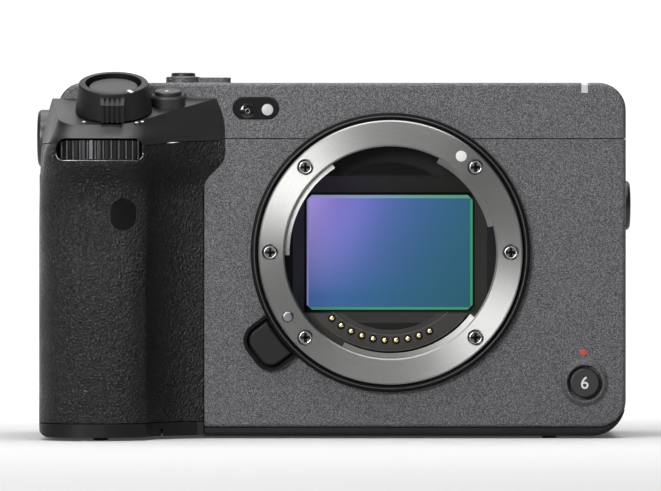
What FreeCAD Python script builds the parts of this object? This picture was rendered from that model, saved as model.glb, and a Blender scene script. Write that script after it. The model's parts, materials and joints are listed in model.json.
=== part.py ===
import FreeCAD, Part
import math
import os

# A full-frame cinema camera body without a lens, in millimetres.
# The origin is the centre of the lens mount's front face. +X points to the port side
# (right in a front view), +Y into the body and towards the monitor, +Z up.

V = FreeCAD.Vector
X_AXIS = (1, 0, 0)
Y_AXIS = (0, 1, 0)
Z_AXIS = (0, 0, 1)

# General clearances
SEAM = 0.2              # gap between two covers that meet edge to edge
FIT = 0.1               # gap between two fixed pieces seated in each other
RUN = 0.15              # gap between a moving piece and its guide
FREE = 0.4              # gap where a moving piece passes a wall

# Body shell
BODY_LEFT = -72.2       # wall behind the grip
BODY_RIGHT = 51.2       # port side wall
BODY_FRONT = 3.0        # front face, behind the mount face
BODY_REAR = 57.0
BODY_TOP = 36.9
BODY_BOTTOM = -39.9     # underside of the black bottom cover
BOTTOM_THICK = 1.8      # black bottom cover
WALL = 1.6
TOP_SEAM_Z = 24.7       # horizontal seam between the top cover and the covers below it
SIDE_SEAM_Y = 29.0      # vertical seam between the front cover and the rear cover
TOP_LEFT_ROUND = 5.5
TOP_RIGHT_ROUND = 6.0
GREY_BOTTOM_ROUND = 6.0
LOWER_LEFT_ROUND = 1.0
BLACK_BOTTOM_ROUND = 7.5
CRESCENT_TOP = 5.7      # how far the bottom cover climbs round the lower right corner
EDGE_ROUND = 0.9        # small round along the front edge of the shell
REAR_ROUND = 2.0        # round along the rear edge of the shell

# Lens mount
THROAT_R = 23.05
FLANGE_R = 28.65
FLANGE_THICK = 5.0
TAB_INNER_R = 21.9
TAB_FRONT = 1.3
TAB_THICK = 1.5
TAB_ANGLES = [(14.5, 62.6), (123.3, 181.5), (243.0, 322.3)]
MOUNT_SCREW_PCD = 52.2
MOUNT_SCREW_ANGLES = [0, 45, 135, 180, 225, 315]
SCREW_HEAD_R = 1.5
SCREW_HEAD_THICK = 1.1
SCREW_SINK = 0.3        # how far a head lies below the mount face
SCREW_SEAT_GAP = 0.3    # width of the ring-shaped gap round a head
SCREW_SLOT = 0.7        # width of each arm of the cross
SCREW_CROSS = 2.1       # length of each arm
SCREW_CROSS_DEPTH = 0.7
SCREW_ROUND = 0.3
SCREW_SHANK_R = 0.85
SCREW_LENGTH = 7.6
DOT_ANGLE = 53.7
DOT_R = 1.25
DOT_PCD = 51.8
DOT_SINK = 0.3
TRIM_WIDTH = 1.5
TRIM_FRONT = 1.0

# Lens release button and lock pin
RELEASE_ANGLE = 217.2
RELEASE_REACH = 37.8    # outer end of the bezel, from the mount centre
RELEASE_HALF_WIDTH = 5.65
RELEASE_ROUND = 4.0
RELEASE_RIM = 0.7
RELEASE_GAP = 0.55
RELEASE_RIM_PROUD = 1.6
RELEASE_PROUD = 2.0     # how far the button face stands out of the front face
RELEASE_FLOOR = 1.0     # floor of the button's pocket
RELEASE_STEM_R = 1.6
RELEASE_TRAVEL = 0.9
PIN_ANGLE = 212.0
PIN_PCD = 52.6
PIN_R = 1.15
PIN_PROUD = 0.9
PIN_LENGTH = 7.0

# Contacts
CONTACT_COUNT = 10
CONTACT_FIRST = 228.5
CONTACT_STEP = 7.55
CONTACT_PIN_R = 0.6
CONTACT_PIN_PCD = 38.3
CONTACT_PIN_FRONT = 4.4
CONTACT_BLOCK_INNER_R = 16.9
CONTACT_BLOCK_STEP_R = 18.0
CONTACT_BLOCK_OUTER_R = 21.5
CONTACT_BLOCK_TOP = -13.3
CONTACT_BLOCK_FRONT = 5.3
CONTACT_STEP_FRONT = 7.0

# Chassis, baffle, shutter and sensor
CHASSIS_GAP = 0.1       # between the mount flange and the chassis
CHASSIS_THICK = 3.0
CHASSIS_HALF_X = 36.0
CHASSIS_HALF_Z = 34.0
BAFFLE_FRONT_HALF_X = 21.2
BAFFLE_FRONT_TOP = 16.7
BAFFLE_FRONT_BOTTOM = -15.4
BAFFLE_WALL = 1.2
BAFFLE_REAR_Y = 14.6
BAFFLE_PLATE = 1.0
BAFFLE_HALF_X = 30.0
BAFFLE_HALF_Z = 28.0
SENSOR_Y = 18.0         # distance from the mount face to the sensor face
SENSOR_WIDTH = 36.4
SENSOR_HEIGHT = 25.2
SENSOR_CUT = 1.1        # chamfer on each corner of the sensor
SENSOR_THICK = 1.0
GATE_MARGIN = 0.6       # how much larger the openings in front of the sensor are
MASK_HALF_X = 26.0
MASK_HALF_Z = 20.0
MASK_THICK = 2.2
CARRIAGE_MARGIN = 3.6
CARRIAGE_THICK = 2.0
SLIDER_THICK = 1.4
SLIDER_ROUND = 3.0
SLIDER_RAIL = 5.5
STABILISER_GAP = 0.35
BASE_THICK = 2.0
BASE_HALF_X = 34.0
BASE_HALF_Z = 31.0
PILLAR_R = 1.6
PILLAR_X = 31.5
PILLAR_Z = 28.0

# Grip
GRIP_BACK_Y = BODY_FRONT - 0.1
LEATHER_THICK = 1.2
GRIP_FRAME_WALL = 1.3
GRIP_SIDE_X = -76.2     # outer face of the grip's side panel
GRIP_SIDE_END = 53.0
GRIP_SIDE_TOP = 17.0
LEATHER_SIDE_END = 13.0
LEATHER_BOTTOM = -36.6
GRIP_BASE_BOTTOM = -39.7
GRIP_BASE_ROUND = 2.8   # round along the base's lower left edge
TOP_TILT = 20.5         # forward tilt of the grip's top, in degrees
TILT_EDGE_Z = 33.5      # height where the tilted top meets the front face
CAP_WALL = 1.8
GRIP_SEAM_X = -40.4     # where the grip's right edge meets the front cover

# Where the cap meets the leather, as x and z from the grip's left side to its right one
CAP_SEAM = [(-90.0, 23.6), (-71.6, 23.5), (-53.0, 22.9), (-46.0, 23.9), (-30.0, 24.5)]

# Each station is a level of the grip: z, left x at the back, how far the left side leans in,
# front y, corner radius, right end of the front face, ridge x, ridge y, hollow x, hollow y, right x.
GRIP_STATIONS = [
    (-40.5, -76.3, 0.5, -17.5, 11.0, -62.0, -52.5, -12.2, -48.0, -2.0, -40.6),
    (-20.0, -76.3, 0.5, -18.0, 11.5, -62.0, -52.5, -12.6, -48.2, -2.0, -40.6),
    (-5.0, -76.3, 0.5, -17.2, 11.0, -61.8, -52.5, -11.9, -48.0, -1.8, -40.6),
    (6.0, -76.3, 0.5, -14.4, 9.5, -61.2, -52.4, -9.8, -47.8, -1.6, -40.6),
    (13.0, -76.2, 0.6, -13.0, 8.4, -60.6, -52.4, -8.6, -47.6, -1.6, -40.6),
    (16.0, -76.1, 0.8, -14.3, 7.6, -60.2, -52.3, -9.6, -46.8, -2.2, -39.9),
    (18.6, -76.0, 1.0, -16.6, 7.0, -60.0, -52.2, -11.6, -46.0, -3.0, -37.0),
    (21.5, -75.9, 1.4, -16.6, 6.5, -60.0, -52.2, -12.0, -45.6, -3.6, -35.9),
    (24.4, -75.5, 2.0, -15.6, 6.0, -60.2, -52.2, -11.5, -45.4, -4.0, -35.9),
    (27.4, -74.9, 2.6, -13.3, 5.2, -60.6, -52.4, -10.0, -45.6, -3.8, -36.0),
    (31.0, -74.1, 2.7, -12.8, 4.8, -61.0, -52.3, -9.4, -45.6, -3.5, -36.8),
    (35.0, -73.0, 2.7, -12.6, 4.6, -61.5, -52.0, -9.0, -45.6, -3.2, -38.6),
]
GRIP_LEVELS = 30            # levels that the grip's surface is drawn through
GRIP_POINTS = 42            # points along each of those levels

# Battery, battery door and latch
BATTERY_X = 22.7
BATTERY_Y = 38.7
BATTERY_Z = 51.7
BATTERY_LEFT = -73.2
BATTERY_FRONT = -3.0
BATTERY_TOP = 13.5
BATTERY_ROUND = 2.5
DOOR_THICK = 1.4
DOOR_ROUND = 1.2
DOOR_GAP = 0.25         # gap round every door
BATTERY_DOOR_MARGIN = 1.0
LATCH_X = 9.0
LATCH_Y = 4.0
LATCH_TRAVEL = 2.5
LATCH_THICK = 0.7
LATCH_RIBS = 4
LATCH_RIB_PITCH = 1.3
LATCH_RIB_WIDTH = 0.5
LATCH_RIB_DEPTH = 0.25
LATCH_TONGUE = 0.6      # how far the tongue reaches past the door

# Front dial
DIAL_R = 10.4
DIAL_X = -62.6
DIAL_Y = -6.6
DIAL_LOW = 20.0
DIAL_HIGH = 24.0
DIAL_TEETH = 38
DIAL_NOTCH = 0.5
DIAL_AXLE_R = 1.5
DIAL_WASHER_R = 3.0
SLOT_LEFT = -71.9
SLOT_RIGHT = -53.2
SLOT_ROUND_LOW = 1.5
SLOT_ROUND_HIGH = 2.2
DIAL_FLOOR_GAP = 0.3    # room under the dial
DIAL_ROOF_GAP = 0.5     # room over the dial
DECK_THICK = 1.5        # floor of the dial's space
DECK_GAP = 1.0          # between the battery's space and that floor

# Infrared window
IR_X = -57.5
IR_Z = 8.2
IR_WIDTH = 5.3
IR_HEIGHT = 6.8

# Zoom lever and shutter button
LEVER_X = -59.8
LEVER_Y = -4.9
LEVER_BASE_R = 8.3
LEVER_TOP_R = 7.5
LEVER_HEIGHT = 6.1
LEVER_LIFT = 0.4        # gap between the lever and the tilted top
LEVER_RIM = 1.1         # width of the lever's upper rim
LEVER_HUB_R = 4.0
LEVER_HUB_DEPTH = 4.0
LEVER_ROUND = 0.45
LEVER_CUP_DEPTH = 3.2   # how deep the shutter button's cup is
LEVER_CUP_GAP = 0.8     # between the shutter button and the cup's wall
LEVER_SEAT_RIM = 1.8    # how far the lever's seat in the cap reaches past its hub
LEVER_SEAT_THICK = 2.4
LEVER_SEAT_DROP = 1.0   # how far that seat lies below the cap's top
TAB_HALF_ANGLE = 24.0
TAB_TIP_SHARE = 0.62    # how much of that angle is left at the tab's tip
TAB_REACH = 1.5
TAB_LIFT = 0.2          # how far the tab's underside lies above the lever's
TAB_FALL = 2.6          # how far the tab's top falls towards its tip
TAB_GROOVES = 4
GROOVE_PITCH = 1.05
GROOVE_WIDTH = 0.5
GROOVE_DEPTH = 0.5
SHUTTER_BUTTON_R = 5.3
SHUTTER_BUTTON_DROP = 0.8
SHUTTER_BUTTON_THICK = 1.3
SHUTTER_STEM_R = 2.4
SHUTTER_STEM_DEPTH = 5.0
BUTTON_ROUND = 0.35     # round on the small buttons' upper edges

# Small button on the grip's top
GRIP_BUTTON_X = -48.2
GRIP_BUTTON_Y = -0.9
GRIP_BUTTON_TILT = 12.0
GRIP_COLLAR_R = 3.75
GRIP_COLLAR_HEIGHT = 2.2
GRIP_BUTTON_R = 2.9
GRIP_BUTTON_PROUD = 0.9
GRIP_BUTTON_DEPTH = 3.0 # how far the button and its collar reach into the cap
GRIP_COLLAR_BEVEL = 0.5
GRIP_COLLAR_STEP = 0.3
BUTTON_TRAVEL = 0.6

# Power switch with a button in its middle
SWITCH_X = -45.2
SWITCH_Y = 14.0
SWITCH_R = 3.8
SWITCH_HUB_R = 3.5
SWITCH_HEIGHT = 1.4
SWITCH_ARM_END = -34.8
SWITCH_ARM_HALF = 1.8
SWITCH_ARM_HEIGHT = 1.2
MOVIE_BUTTON_R = 2.65
MOVIE_BUTTON_PROUD = 0.85

# Front record button
FRONT_BUTTON_X = 42.2
FRONT_BUTTON_Z = -28.3
FRONT_COLLAR_R = 5.2
FRONT_COLLAR_PROUD = 0.9
FRONT_HOLE_R = 3.9
FRONT_BUTTON_R = 3.2
FRONT_BUTTON_PROUD = 0.6
FRONT_BUTTON_DEPTH = 0.8
FRONT_STEM_R = 2.1
FRONT_STEM_LENGTH = 4.5
FRONT_GUIDE_DEPTH = 1.5

# Oval window, tally lamp
WINDOW_X = -29.2
WINDOW_Z = 31.3
WINDOW_WIDTH = 10.1
WINDOW_HEIGHT = 4.85
WINDOW_SINK = 0.35
WINDOW_THICK = 1.0
TALLY_X = 42.2
TALLY_WIDTH = 1.5
TALLY_DROP = 2.3        # how far the lamp runs down the front face
TALLY_BACK = 6.0        # how far it runs back along the top

# Quarter-inch threads
THREAD_R = 2.6
BUSH_R = 4.2
BUSH_LENGTH = 6.5
BUSH_FLANGE_R = 5.0
BUSH_FLANGE_THICK = 0.8
TOP_THREADS = [(-24.0, 18.0), (31.0, 18.0), (36.0, 46.0)]
TRIPOD_Y = 24.0
PORT_BOSS_R = 5.45
PORT_BOSS_Z = 10.3
PORT_BOSS_PROUD = 1.4
GRIP_BOSS_R = 6.3
GRIP_BOSS_Z = 25.0
GRIP_BOSS_PROUD = 4.9
BOSS_Y = 16.0

# Accessory shoe
SHOE_INNER = 18.6
SHOE_MOUTH = 12.6
SHOE_LIP = 1.6
SHOE_SLOT = 2.1
SHOE_FLOOR = 1.2
SHOE_LENGTH = 20.0
SHOE_SIDE = 1.6
SHOE_TOP_SINK = 0.1

# Rear monitor
MONITOR_LEFT = -36.0
MONITOR_RIGHT = 44.0
MONITOR_LOW = -36.0
MONITOR_HIGH = 22.0
MONITOR_GAP = 0.3
MONITOR_THICK = 9.2
MONITOR_ROUND = 2.5
GLASS_INSET = 2.0
GLASS_THICK = 1.0
SCREEN_RIM = 0.2        # how deep the glass lies below the rim
HINGE_X = 48.0
HINGE_BARREL_R = 3.3
HINGE_PIN_R = 1.2
HINGE_LOW = -30.0
HINGE_HIGH = 16.0
KNUCKLE = 6.0
HINGE_ARM_HALF = 1.6
KNUCKLE_FOOT_HALF = 2.2

# Rear controls
REAR_DIAL_X = -60.0
REAR_DIAL_Y = 49.0
REAR_DIAL_R = 9.5
REAR_DIAL_LOW = 27.2
REAR_DIAL_HIGH = 31.2
REAR_DIAL_TEETH = 40
WHEEL_X = -56.0
WHEEL_Z = -10.0
WHEEL_R = 9.0
WHEEL_INNER_R = 4.4
WHEEL_PROUD = 2.2
WHEEL_TEETH = 48
WHEEL_NOTCH = 0.3
WHEEL_POST_SHARE = 0.6  # how far up the wheel its post reaches
CENTRE_BUTTON_R = 3.6
CENTRE_BUTTON_PROUD = 2.0
JOYSTICK_X = -48.5
JOYSTICK_Z = 14.0
JOYSTICK_SOCKET_R = 5.2
JOYSTICK_CAP_R = 3.4
JOYSTICK_PROUD = 3.2
JOYSTICK_PIVOT_DEPTH = 2.6
JOYSTICK_WELL_R = 4.3
JOYSTICK_WELL_DEPTH = 5.3
JOYSTICK_FLOOR = 1.2
JOYSTICK_STEM_R = 1.3
JOYSTICK_CAP_THICK = 1.8
JOYSTICK_CAP_ROUND = 0.7
GIMBAL_R = 2.9
GIMBAL_BORE_R = 2.1
GIMBAL_WIDTH = 1.6
GIMBAL_PIN_R = 0.5
MENU_X = -62.0
MENU_Z = 14.0
PLAY_X = -48.5
PLAY_Z = -28.0
MENU_BUTTON_R = 2.8
MENU_BUTTON_PROUD = 0.8
THUMB_REST_INSET = 2.2
THUMB_REST_WIDTH = 4.6
THUMB_REST_HIGH = 22.0
THUMB_REST_PROUD = 2.6

# Cards, boards, fan
CARD_Y = 24.0
CARD_X = 31.8
CARD_THICK = 2.1
CARD_PITCH = 6.5
CARD_LOW = -22.0
SLOT_FRONT = 38.0
SLOT_BLOCK_X = 34.0
SLOT_BLOCK_LEFT = -70.2
SLOT_BLOCK_WALL = 2.0
CARD_INSET = 1.0        # how deep a card sits in its slot
SLOT_BACK = 0.8         # wall behind the cards
CARD_DOOR_LOW = -29.0
CARD_DOOR_HIGH = 9.0
CARD_DOOR_FRONT = 37.0
CARD_DOOR_REAR = 51.5
PORT_DOOR_LOW = -29.0
PORT_DOOR_HIGH = 1.0
PORT_DOOR_FRONT = 32.0
PORT_DOOR_SPLIT = 42.0
PORT_DOOR_REAR = 52.0
PORT_LEDGE = 1.0          # step that each port door closes against
PORT_LEDGE_THICK = 1.4
# Sockets: which door they are behind, height, width and length of the socket.
SOCKETS = [(0, -21.0, 5.6, 14.0), (1, -23.0, 3.4, 9.0)]
JACKS = [(0, -7.0), (1, -6.0)]
JACK_R = 3.1
JACK_BORE_R = 1.75
SOCKET_DEPTH = 4.2
SOCKET_PROUD = 0.2
SOCKET_WALL = 0.5
TONGUE_THICK = 0.7
TONGUE_INSET = 1.6
TONGUE_DROP = 0.6
BOARD_Y = 47.0
BOARD_TOP = 21.0
BOARD_BOTTOM = -34.0
BOARD_THICK = 1.2
BOARD_RIGHT = 42.0
CHIP_THICK = 1.2
# Chips on the main board: left, bottom, width, height.
CHIPS = [(-18.0, -4.0, 14.0, 14.0), (2.0, -2.0, 10.0, 8.0), (2.0, -16.0, 10.0, 8.0), (-16.0, 12.0, 9.0, 5.0)]
FAN_X = 28.0
FAN_Y = 33.0
FAN_Z = -14.0
FAN_THICK = 8.0
FAN_R = 10.0
FAN_BLADES = 17
FAN_WALL = 1.2
FAN_POST_R = 1.0
FAN_HUB_R = 3.4
FAN_DISC_THICK = 0.8
FAN_INLET_SHARE = 0.62  # inlet radius as a share of the wheel's space
FAN_LEG_R = 1.4
FAN_LEG_INSET = 2.2
BLADE_THICK = 0.6
BLADE_SWEEP = 28.0
SINK_FINS = 9
SINK_FIN_THICK = 1.0
SINK_FIN_HEIGHT = 4.0
SINK_PAD_HALF = 9.0
SINK_PAD_THICK = 1.0
SINK_PLATE_THICK = 1.4
SINK_HALF_X = 17.0
SINK_HALF_Z = 13.0
VENT_SLOTS = 6
VENT_LOW = -27.0
VENT_PITCH = 3.4
VENT_WIDTH = 1.5
VENT_ROUND = 0.7
VENT_FRONT = 20.0
VENT_REAR = 27.0

# Feet and cover screws
FOOT_R = 1.6
FOOT_PROUD = 0.5
FOOT_PLACES = [(-62.5, -9.0), (34.7, 8.0), (-62.5, 46.0), (34.7, 50.0)]
COVER_SCREW_R = 1.2
COVER_SCREW_LENGTH = 5.0
COVER_SCREWS = [(-20.0, 12.0), (22.0, 12.0), (-20.0, 50.0), (22.0, 50.0)]


# Solids that everything below is made from
def box(x0, x1, y0, y1, z0, z1):
    return Part.makeBox(x1 - x0, y1 - y0, z1 - z0, V(x0, y0, z0))


def rod(radius, start, direction, length):
    return Part.makeCylinder(radius, length, V(*start), V(*direction))


def cone(radius_low, radius_high, start, direction, length):
    return Part.makeCone(radius_low, radius_high, length, V(*start), V(*direction))


def tube(outer, inner, start, direction, length):
    return rod(outer, start, direction, length).cut(rod(inner, start, direction, length))


def joined(shapes):
    if len(shapes) == 1:
        return shapes[0]
    return shapes[0].multiFuse(shapes[1:]).removeSplitter()


def without(base, tools):
    result = base
    for tool in tools:
        result = result.cut(tool)
    return result


def polar(radius, degrees):
    """A point on the mount's face plane, as x and z."""
    turn = math.radians(degrees)
    return radius * math.cos(turn), radius * math.sin(turn)


def rounded_face(low, high, radii, place):
    """A rounded rectangle. Radii run bottom left, bottom right, top right, top left."""
    directions = [(1, 0), (0, 1), (-1, 0), (0, -1)]
    corners = [(low[0], low[1]), (high[0], low[1]), (high[0], high[1]), (low[0], high[1])]
    stops = []
    edges = []
    for index, (u, v) in enumerate(corners):
        arrive = directions[index - 1]
        leave = directions[index]
        r = radii[index]
        start = (u - arrive[0] * r, v - arrive[1] * r)
        end = (u + leave[0] * r, v + leave[1] * r)
        bulge = r * (1 - math.sqrt(0.5))
        middle = (u + (leave[0] - arrive[0]) * bulge, v + (leave[1] - arrive[1]) * bulge)
        stops.append((start, middle, end, r))
    for index, (start, middle, end, r) in enumerate(stops):
        if r > 0:
            edges.append(Part.Arc(place(*start), place(*middle), place(*end)).toShape())
        following = stops[(index + 1) % len(stops)][0]
        if math.dist(end, following) > 1e-6:
            edges.append(Part.LineSegment(place(*end), place(*following)).toShape())
    return Part.Face(Part.Wire(edges))


def plate_y(x0, x1, z0, z1, radii, y0, y1):
    """A rounded plate that stands across the view, from y0 to y1."""
    face = rounded_face((x0, z0), (x1, z1), radii, lambda u, v: V(u, y0, v))
    return face.extrude(V(0, y1 - y0, 0))


def plate_x(y0, y1, z0, z1, radii, x0, x1):
    """A rounded plate on a side wall, from x0 to x1."""
    face = rounded_face((y0, z0), (y1, z1), radii, lambda u, v: V(x0, u, v))
    return face.extrude(V(x1 - x0, 0, 0))


def plate_z(x0, x1, y0, y1, radii, z0, z1):
    """A rounded plate that lies flat, from z0 to z1."""
    face = rounded_face((x0, y0), (x1, y1), radii, lambda u, v: V(u, v, z0))
    return face.extrude(V(0, 0, z1 - z0))


def prism(points, travel):
    corners = [V(*point) for point in points]
    return Part.Face(Part.makePolygon(corners + [corners[0]])).extrude(V(*travel))


def edges_at(shape, axis, value):
    """The edges that lie whole in the plane where the axis has this value."""
    found = []
    for edge in shape.Edges:
        bounds = edge.BoundBox
        low = (bounds.XMin, bounds.YMin, bounds.ZMin)[axis]
        high = (bounds.XMax, bounds.YMax, bounds.ZMax)[axis]
        if abs(low - value) < 1e-4 and abs(high - value) < 1e-4:
            found.append(edge)
    return found


def eased(shape, radius, axis, value):
    return shape.makeFillet(radius, edges_at(shape, axis, value))


def toothed_disc(centre, radius, thickness, teeth, notch, axis):
    """A disc with a ribbed rim, standing on centre along Z or Y."""
    disc = rod(radius, centre, axis, thickness)
    cutters = []
    for index in range(teeth):
        turn = 2 * math.pi * index / teeth
        if axis == Z_AXIS:
            spot = (centre[0] + radius * math.cos(turn), centre[1] + radius * math.sin(turn), centre[2] - 1)
        else:
            spot = (centre[0] + radius * math.cos(turn), centre[1] - 1, centre[2] + radius * math.sin(turn))
        cutters.append(rod(notch, spot, axis, thickness + 2))
    return disc.cut(Part.makeCompound(cutters))


# The grip's outer form
def grip_station(z):
    """The grip's measures at any level, smoothly between the stations."""
    last = len(GRIP_STATIONS) - 1
    index = 0
    while index < last - 1 and z > GRIP_STATIONS[index + 1][0]:
        index += 1
    low = GRIP_STATIONS[index]
    high = GRIP_STATIONS[index + 1]
    before = GRIP_STATIONS[max(index - 1, 0)]
    after = GRIP_STATIONS[min(index + 2, last)]
    span = high[0] - low[0]
    t = (z - low[0]) / span
    measures = [z]
    for a, b, c, d in list(zip(before, low, high, after))[1:]:
        rise_low = (c - a) / (high[0] - before[0]) * span
        rise_high = (d - b) / (after[0] - low[0]) * span
        value = (2 * t**3 - 3 * t**2 + 1) * b + (t**3 - 2 * t**2 + t) * rise_low
        value += (3 * t**2 - 2 * t**3) * c + (t**3 - t**2) * rise_high
        measures.append(value)
    return measures


def grip_outline(station, inset, back_y):
    """Points along one level of the grip, from its left back corner round to its right one."""
    z, left, lean, front, corner, front_end, ridge_x, ridge_y, hollow_x, hollow_y, right = station
    left = left + inset
    front = front + inset
    corner = corner - inset / 2
    ridge = V(ridge_x - inset * 0.8, ridge_y + inset * 0.6, z)
    hollow = V(hollow_x - inset * 0.7, hollow_y + inset * 0.7, z)
    end = V(right - inset * 1.4, back_y, z)
    corner_start = V(left + lean, front + corner, z)
    corner_end = V(left + lean + corner, front, z)
    cut = corner * (1 - math.sqrt(0.5))
    corner_middle = V(left + lean + cut, front + cut, z)
    front_stop = V(front_end, front, z)
    across = ridge.x - front_end
    back = ridge.y - front
    bend = (across**2 + back**2) / (2 * back)
    turn = math.atan2(back, across)
    ridge_middle = V(front_end + bend * math.sin(turn), front + bend * (1 - math.cos(turn)), z)
    runs = [
        Part.LineSegment(V(left, back_y, z), corner_start),
        Part.Arc(corner_start, corner_middle, corner_end),
        Part.LineSegment(corner_end, front_stop),
        Part.Arc(front_stop, ridge_middle, ridge),
        Part.Arc(ridge, hollow, end),
    ]
    path = Part.Wire([run.toShape() for run in runs])
    return path.discretize(Number=GRIP_POINTS)


def grip_solid(inset, back_y):
    """The whole grip in front of back_y, drawn in by inset all round."""
    lowest = GRIP_STATIONS[0][0]
    highest = GRIP_STATIONS[-1][0]
    levels = GRIP_LEVELS - 1
    heights = [lowest + (highest - lowest) * index / levels for index in range(GRIP_LEVELS)]
    grid = [grip_outline(grip_station(z), inset, back_y) for z in heights]
    skin = Part.BSplineSurface()
    skin.interpolate(grid)
    side = skin.toShape()
    caps = []
    for z in (lowest, highest):
        rim = edges_at(side, 2, z)[0]
        ends = [rim.Vertexes[0].Point, rim.Vertexes[-1].Point]
        caps.append(Part.Face(Part.Wire([rim, Part.LineSegment(*ends).toShape()])))
    back_edges = edges_at(side, 1, back_y)
    for cap in caps:
        back_edges.extend(edges_at(cap, 1, back_y))
    back = Part.Face(Part.Wire(Part.sortEdges(back_edges)[0]))
    shell = Part.Shell([side, back] + caps)
    shell.sewShape()
    solid = Part.Solid(shell)
    if solid.Volume < 0:
        solid.reverse()
    return solid


# Places that several pieces share
GREY_BOTTOM = BODY_BOTTOM + BOTTOM_THICK
INNER_FRONT = BODY_FRONT + WALL
INNER_TOP = BODY_TOP - WALL
INNER_REAR = BODY_REAR - WALL
BODY_ROUNDS = (LOWER_LEFT_ROUND, GREY_BOTTOM_ROUND, TOP_RIGHT_ROUND, TOP_LEFT_ROUND)
TRIM_INNER_R = FLANGE_R + SEAM
TRIM_R = TRIM_INNER_R + TRIM_WIDTH
SLEEVE_R = TRIM_INNER_R + TRIM_WIDTH / 2
CHASSIS_Y = FLANGE_THICK + CHASSIS_GAP
CHASSIS_BACK = CHASSIS_Y + CHASSIS_THICK
GATE_X = SENSOR_WIDTH / 2 + GATE_MARGIN
GATE_Z = SENSOR_HEIGHT / 2 + GATE_MARGIN
CARRIAGE_Y = SENSOR_Y + SENSOR_THICK
SLIDER_Y = CARRIAGE_Y + CARRIAGE_THICK + STABILISER_GAP
BASE_Y = SLIDER_Y + SLIDER_THICK + STABILISER_GAP
BASE_BACK = BASE_Y + BASE_THICK
TILT = math.radians(TOP_TILT)
SHAFT_TOP = BODY_TOP + RUN
FAR = 200.0


def tilted_height(y):
    """Height of the grip's tilted top plane at this y."""
    return TILT_EDGE_Z + (y - BODY_FRONT) * math.tan(TILT)


def tilted(shape, x, y, z, degrees):
    """A shape made upright at the origin, leaned forward and moved to its place."""
    shape.Placement = FreeCAD.Placement(V(x, y, z), FreeCAD.Rotation(V(*X_AXIS), degrees))
    return shape


def turned(shape, degrees):
    """A shape made along +X, turned about the lens axis."""
    shape.rotate(V(0, 0, 0), V(*Y_AXIS), -degrees)
    return shape


def sector(inner, outer, first, last, y0, y1):
    """Part of a ring about the lens axis, between two angles."""
    middle = (first + last) / 2
    spots = [polar(r, a) for r in (inner, outer) for a in (first, middle, last)]
    a, b, c, d, e, f = [V(x, y0, z) for x, z in spots]
    edges = [
        Part.Arc(a, b, c).toShape(),
        Part.LineSegment(c, f).toShape(),
        Part.Arc(f, e, d).toShape(),
        Part.LineSegment(d, a).toShape(),
    ]
    return Part.Face(Part.Wire(edges)).extrude(V(0, y1 - y0, 0))


def body_block():
    """The grey body as one solid, with its rounded edges."""
    radii = BODY_ROUNDS
    block = plate_y(BODY_LEFT, BODY_RIGHT, GREY_BOTTOM, BODY_TOP, radii, BODY_FRONT, BODY_REAR)
    block = eased(block, EDGE_ROUND, 1, BODY_FRONT)
    return eased(block, min(REAR_ROUND, WALL), 1, BODY_REAR)


def body_shell():
    radii = [max(r - WALL, 0.0) for r in BODY_ROUNDS]
    left = BODY_LEFT + WALL
    right = BODY_RIGHT - WALL
    hollow = plate_y(left, right, GREY_BOTTOM + WALL, INNER_TOP, radii, INNER_FRONT, INNER_REAR)
    return body_block().cut(hollow)


def battery_bay():
    """The space that the battery and its clearance take, open at the bottom."""
    return box(
        BATTERY_LEFT - RUN,
        BATTERY_LEFT + BATTERY_X + RUN,
        BATTERY_FRONT - RUN,
        BATTERY_FRONT + BATTERY_Y + RUN,
        BODY_BOTTOM - 1,
        BATTERY_TOP + RUN,
    )


def release_plate(margin, y0, y1):
    """The rounded tongue of the lens release, drawn in by margin."""
    half = RELEASE_HALF_WIDTH - margin
    bend = max(RELEASE_ROUND - margin, 0.5)
    plate = plate_y(TRIM_INNER_R - 3, RELEASE_REACH - margin, -half, half, (0, bend, bend, 0), y0, y1)
    return turned(plate, RELEASE_ANGLE)


# Covers
def front_cover():
    panel = body_shell().common(
        box(GRIP_SEAM_X, FAR, BODY_FRONT - 1, SIDE_SEAM_Y - SEAM / 2, -FAR, TOP_SEAM_Z - SEAM / 2)
    )
    collar_front = BODY_FRONT - FRONT_COLLAR_PROUD
    bevel = FRONT_COLLAR_PROUD
    spot = (FRONT_BUTTON_X, collar_front, FRONT_BUTTON_Z)
    collar = cone(FRONT_COLLAR_R - bevel, FRONT_COLLAR_R, spot, Y_AXIS, bevel)
    guide_foot = (FRONT_BUTTON_X, BODY_FRONT, FRONT_BUTTON_Z)
    guide = rod(FRONT_COLLAR_R, guide_foot, Y_AXIS, WALL + FRONT_GUIDE_DEPTH)
    panel = joined([panel, collar, guide])
    cuts = [
        rod(SLEEVE_R + FIT, (0, BODY_FRONT - 1, 0), Y_AXIS, WALL + 2),
        release_plate(RELEASE_RIM / 2 - FIT, BODY_FRONT - 1, INNER_FRONT + 1),
        rod(FRONT_HOLE_R, spot, Y_AXIS, bevel + front_button_room()),
        rod(FRONT_STEM_R + RUN, spot, Y_AXIS, FAR).common(box(0, FAR, -FAR, SIDE_SEAM_Y, -FAR, 0)),
        rod(BUSH_R + FIT, (BODY_RIGHT - WALL - 1, BOSS_Y, PORT_BOSS_Z), X_AXIS, WALL + 2),
        rod(BUSH_R + FIT, (0, TRIPOD_Y, BODY_BOTTOM), Z_AXIS, BOTTOM_THICK + WALL + 1),
    ]
    cuts.extend(vent_cutters())
    cuts.extend(cover_screw_holes(COVER_SCREW_R * 0.75))
    return without(panel, cuts)


def front_button_room():
    """Depth of the front button's pocket behind the front face."""
    return FRONT_BUTTON_DEPTH + BUTTON_TRAVEL + RUN


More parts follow.
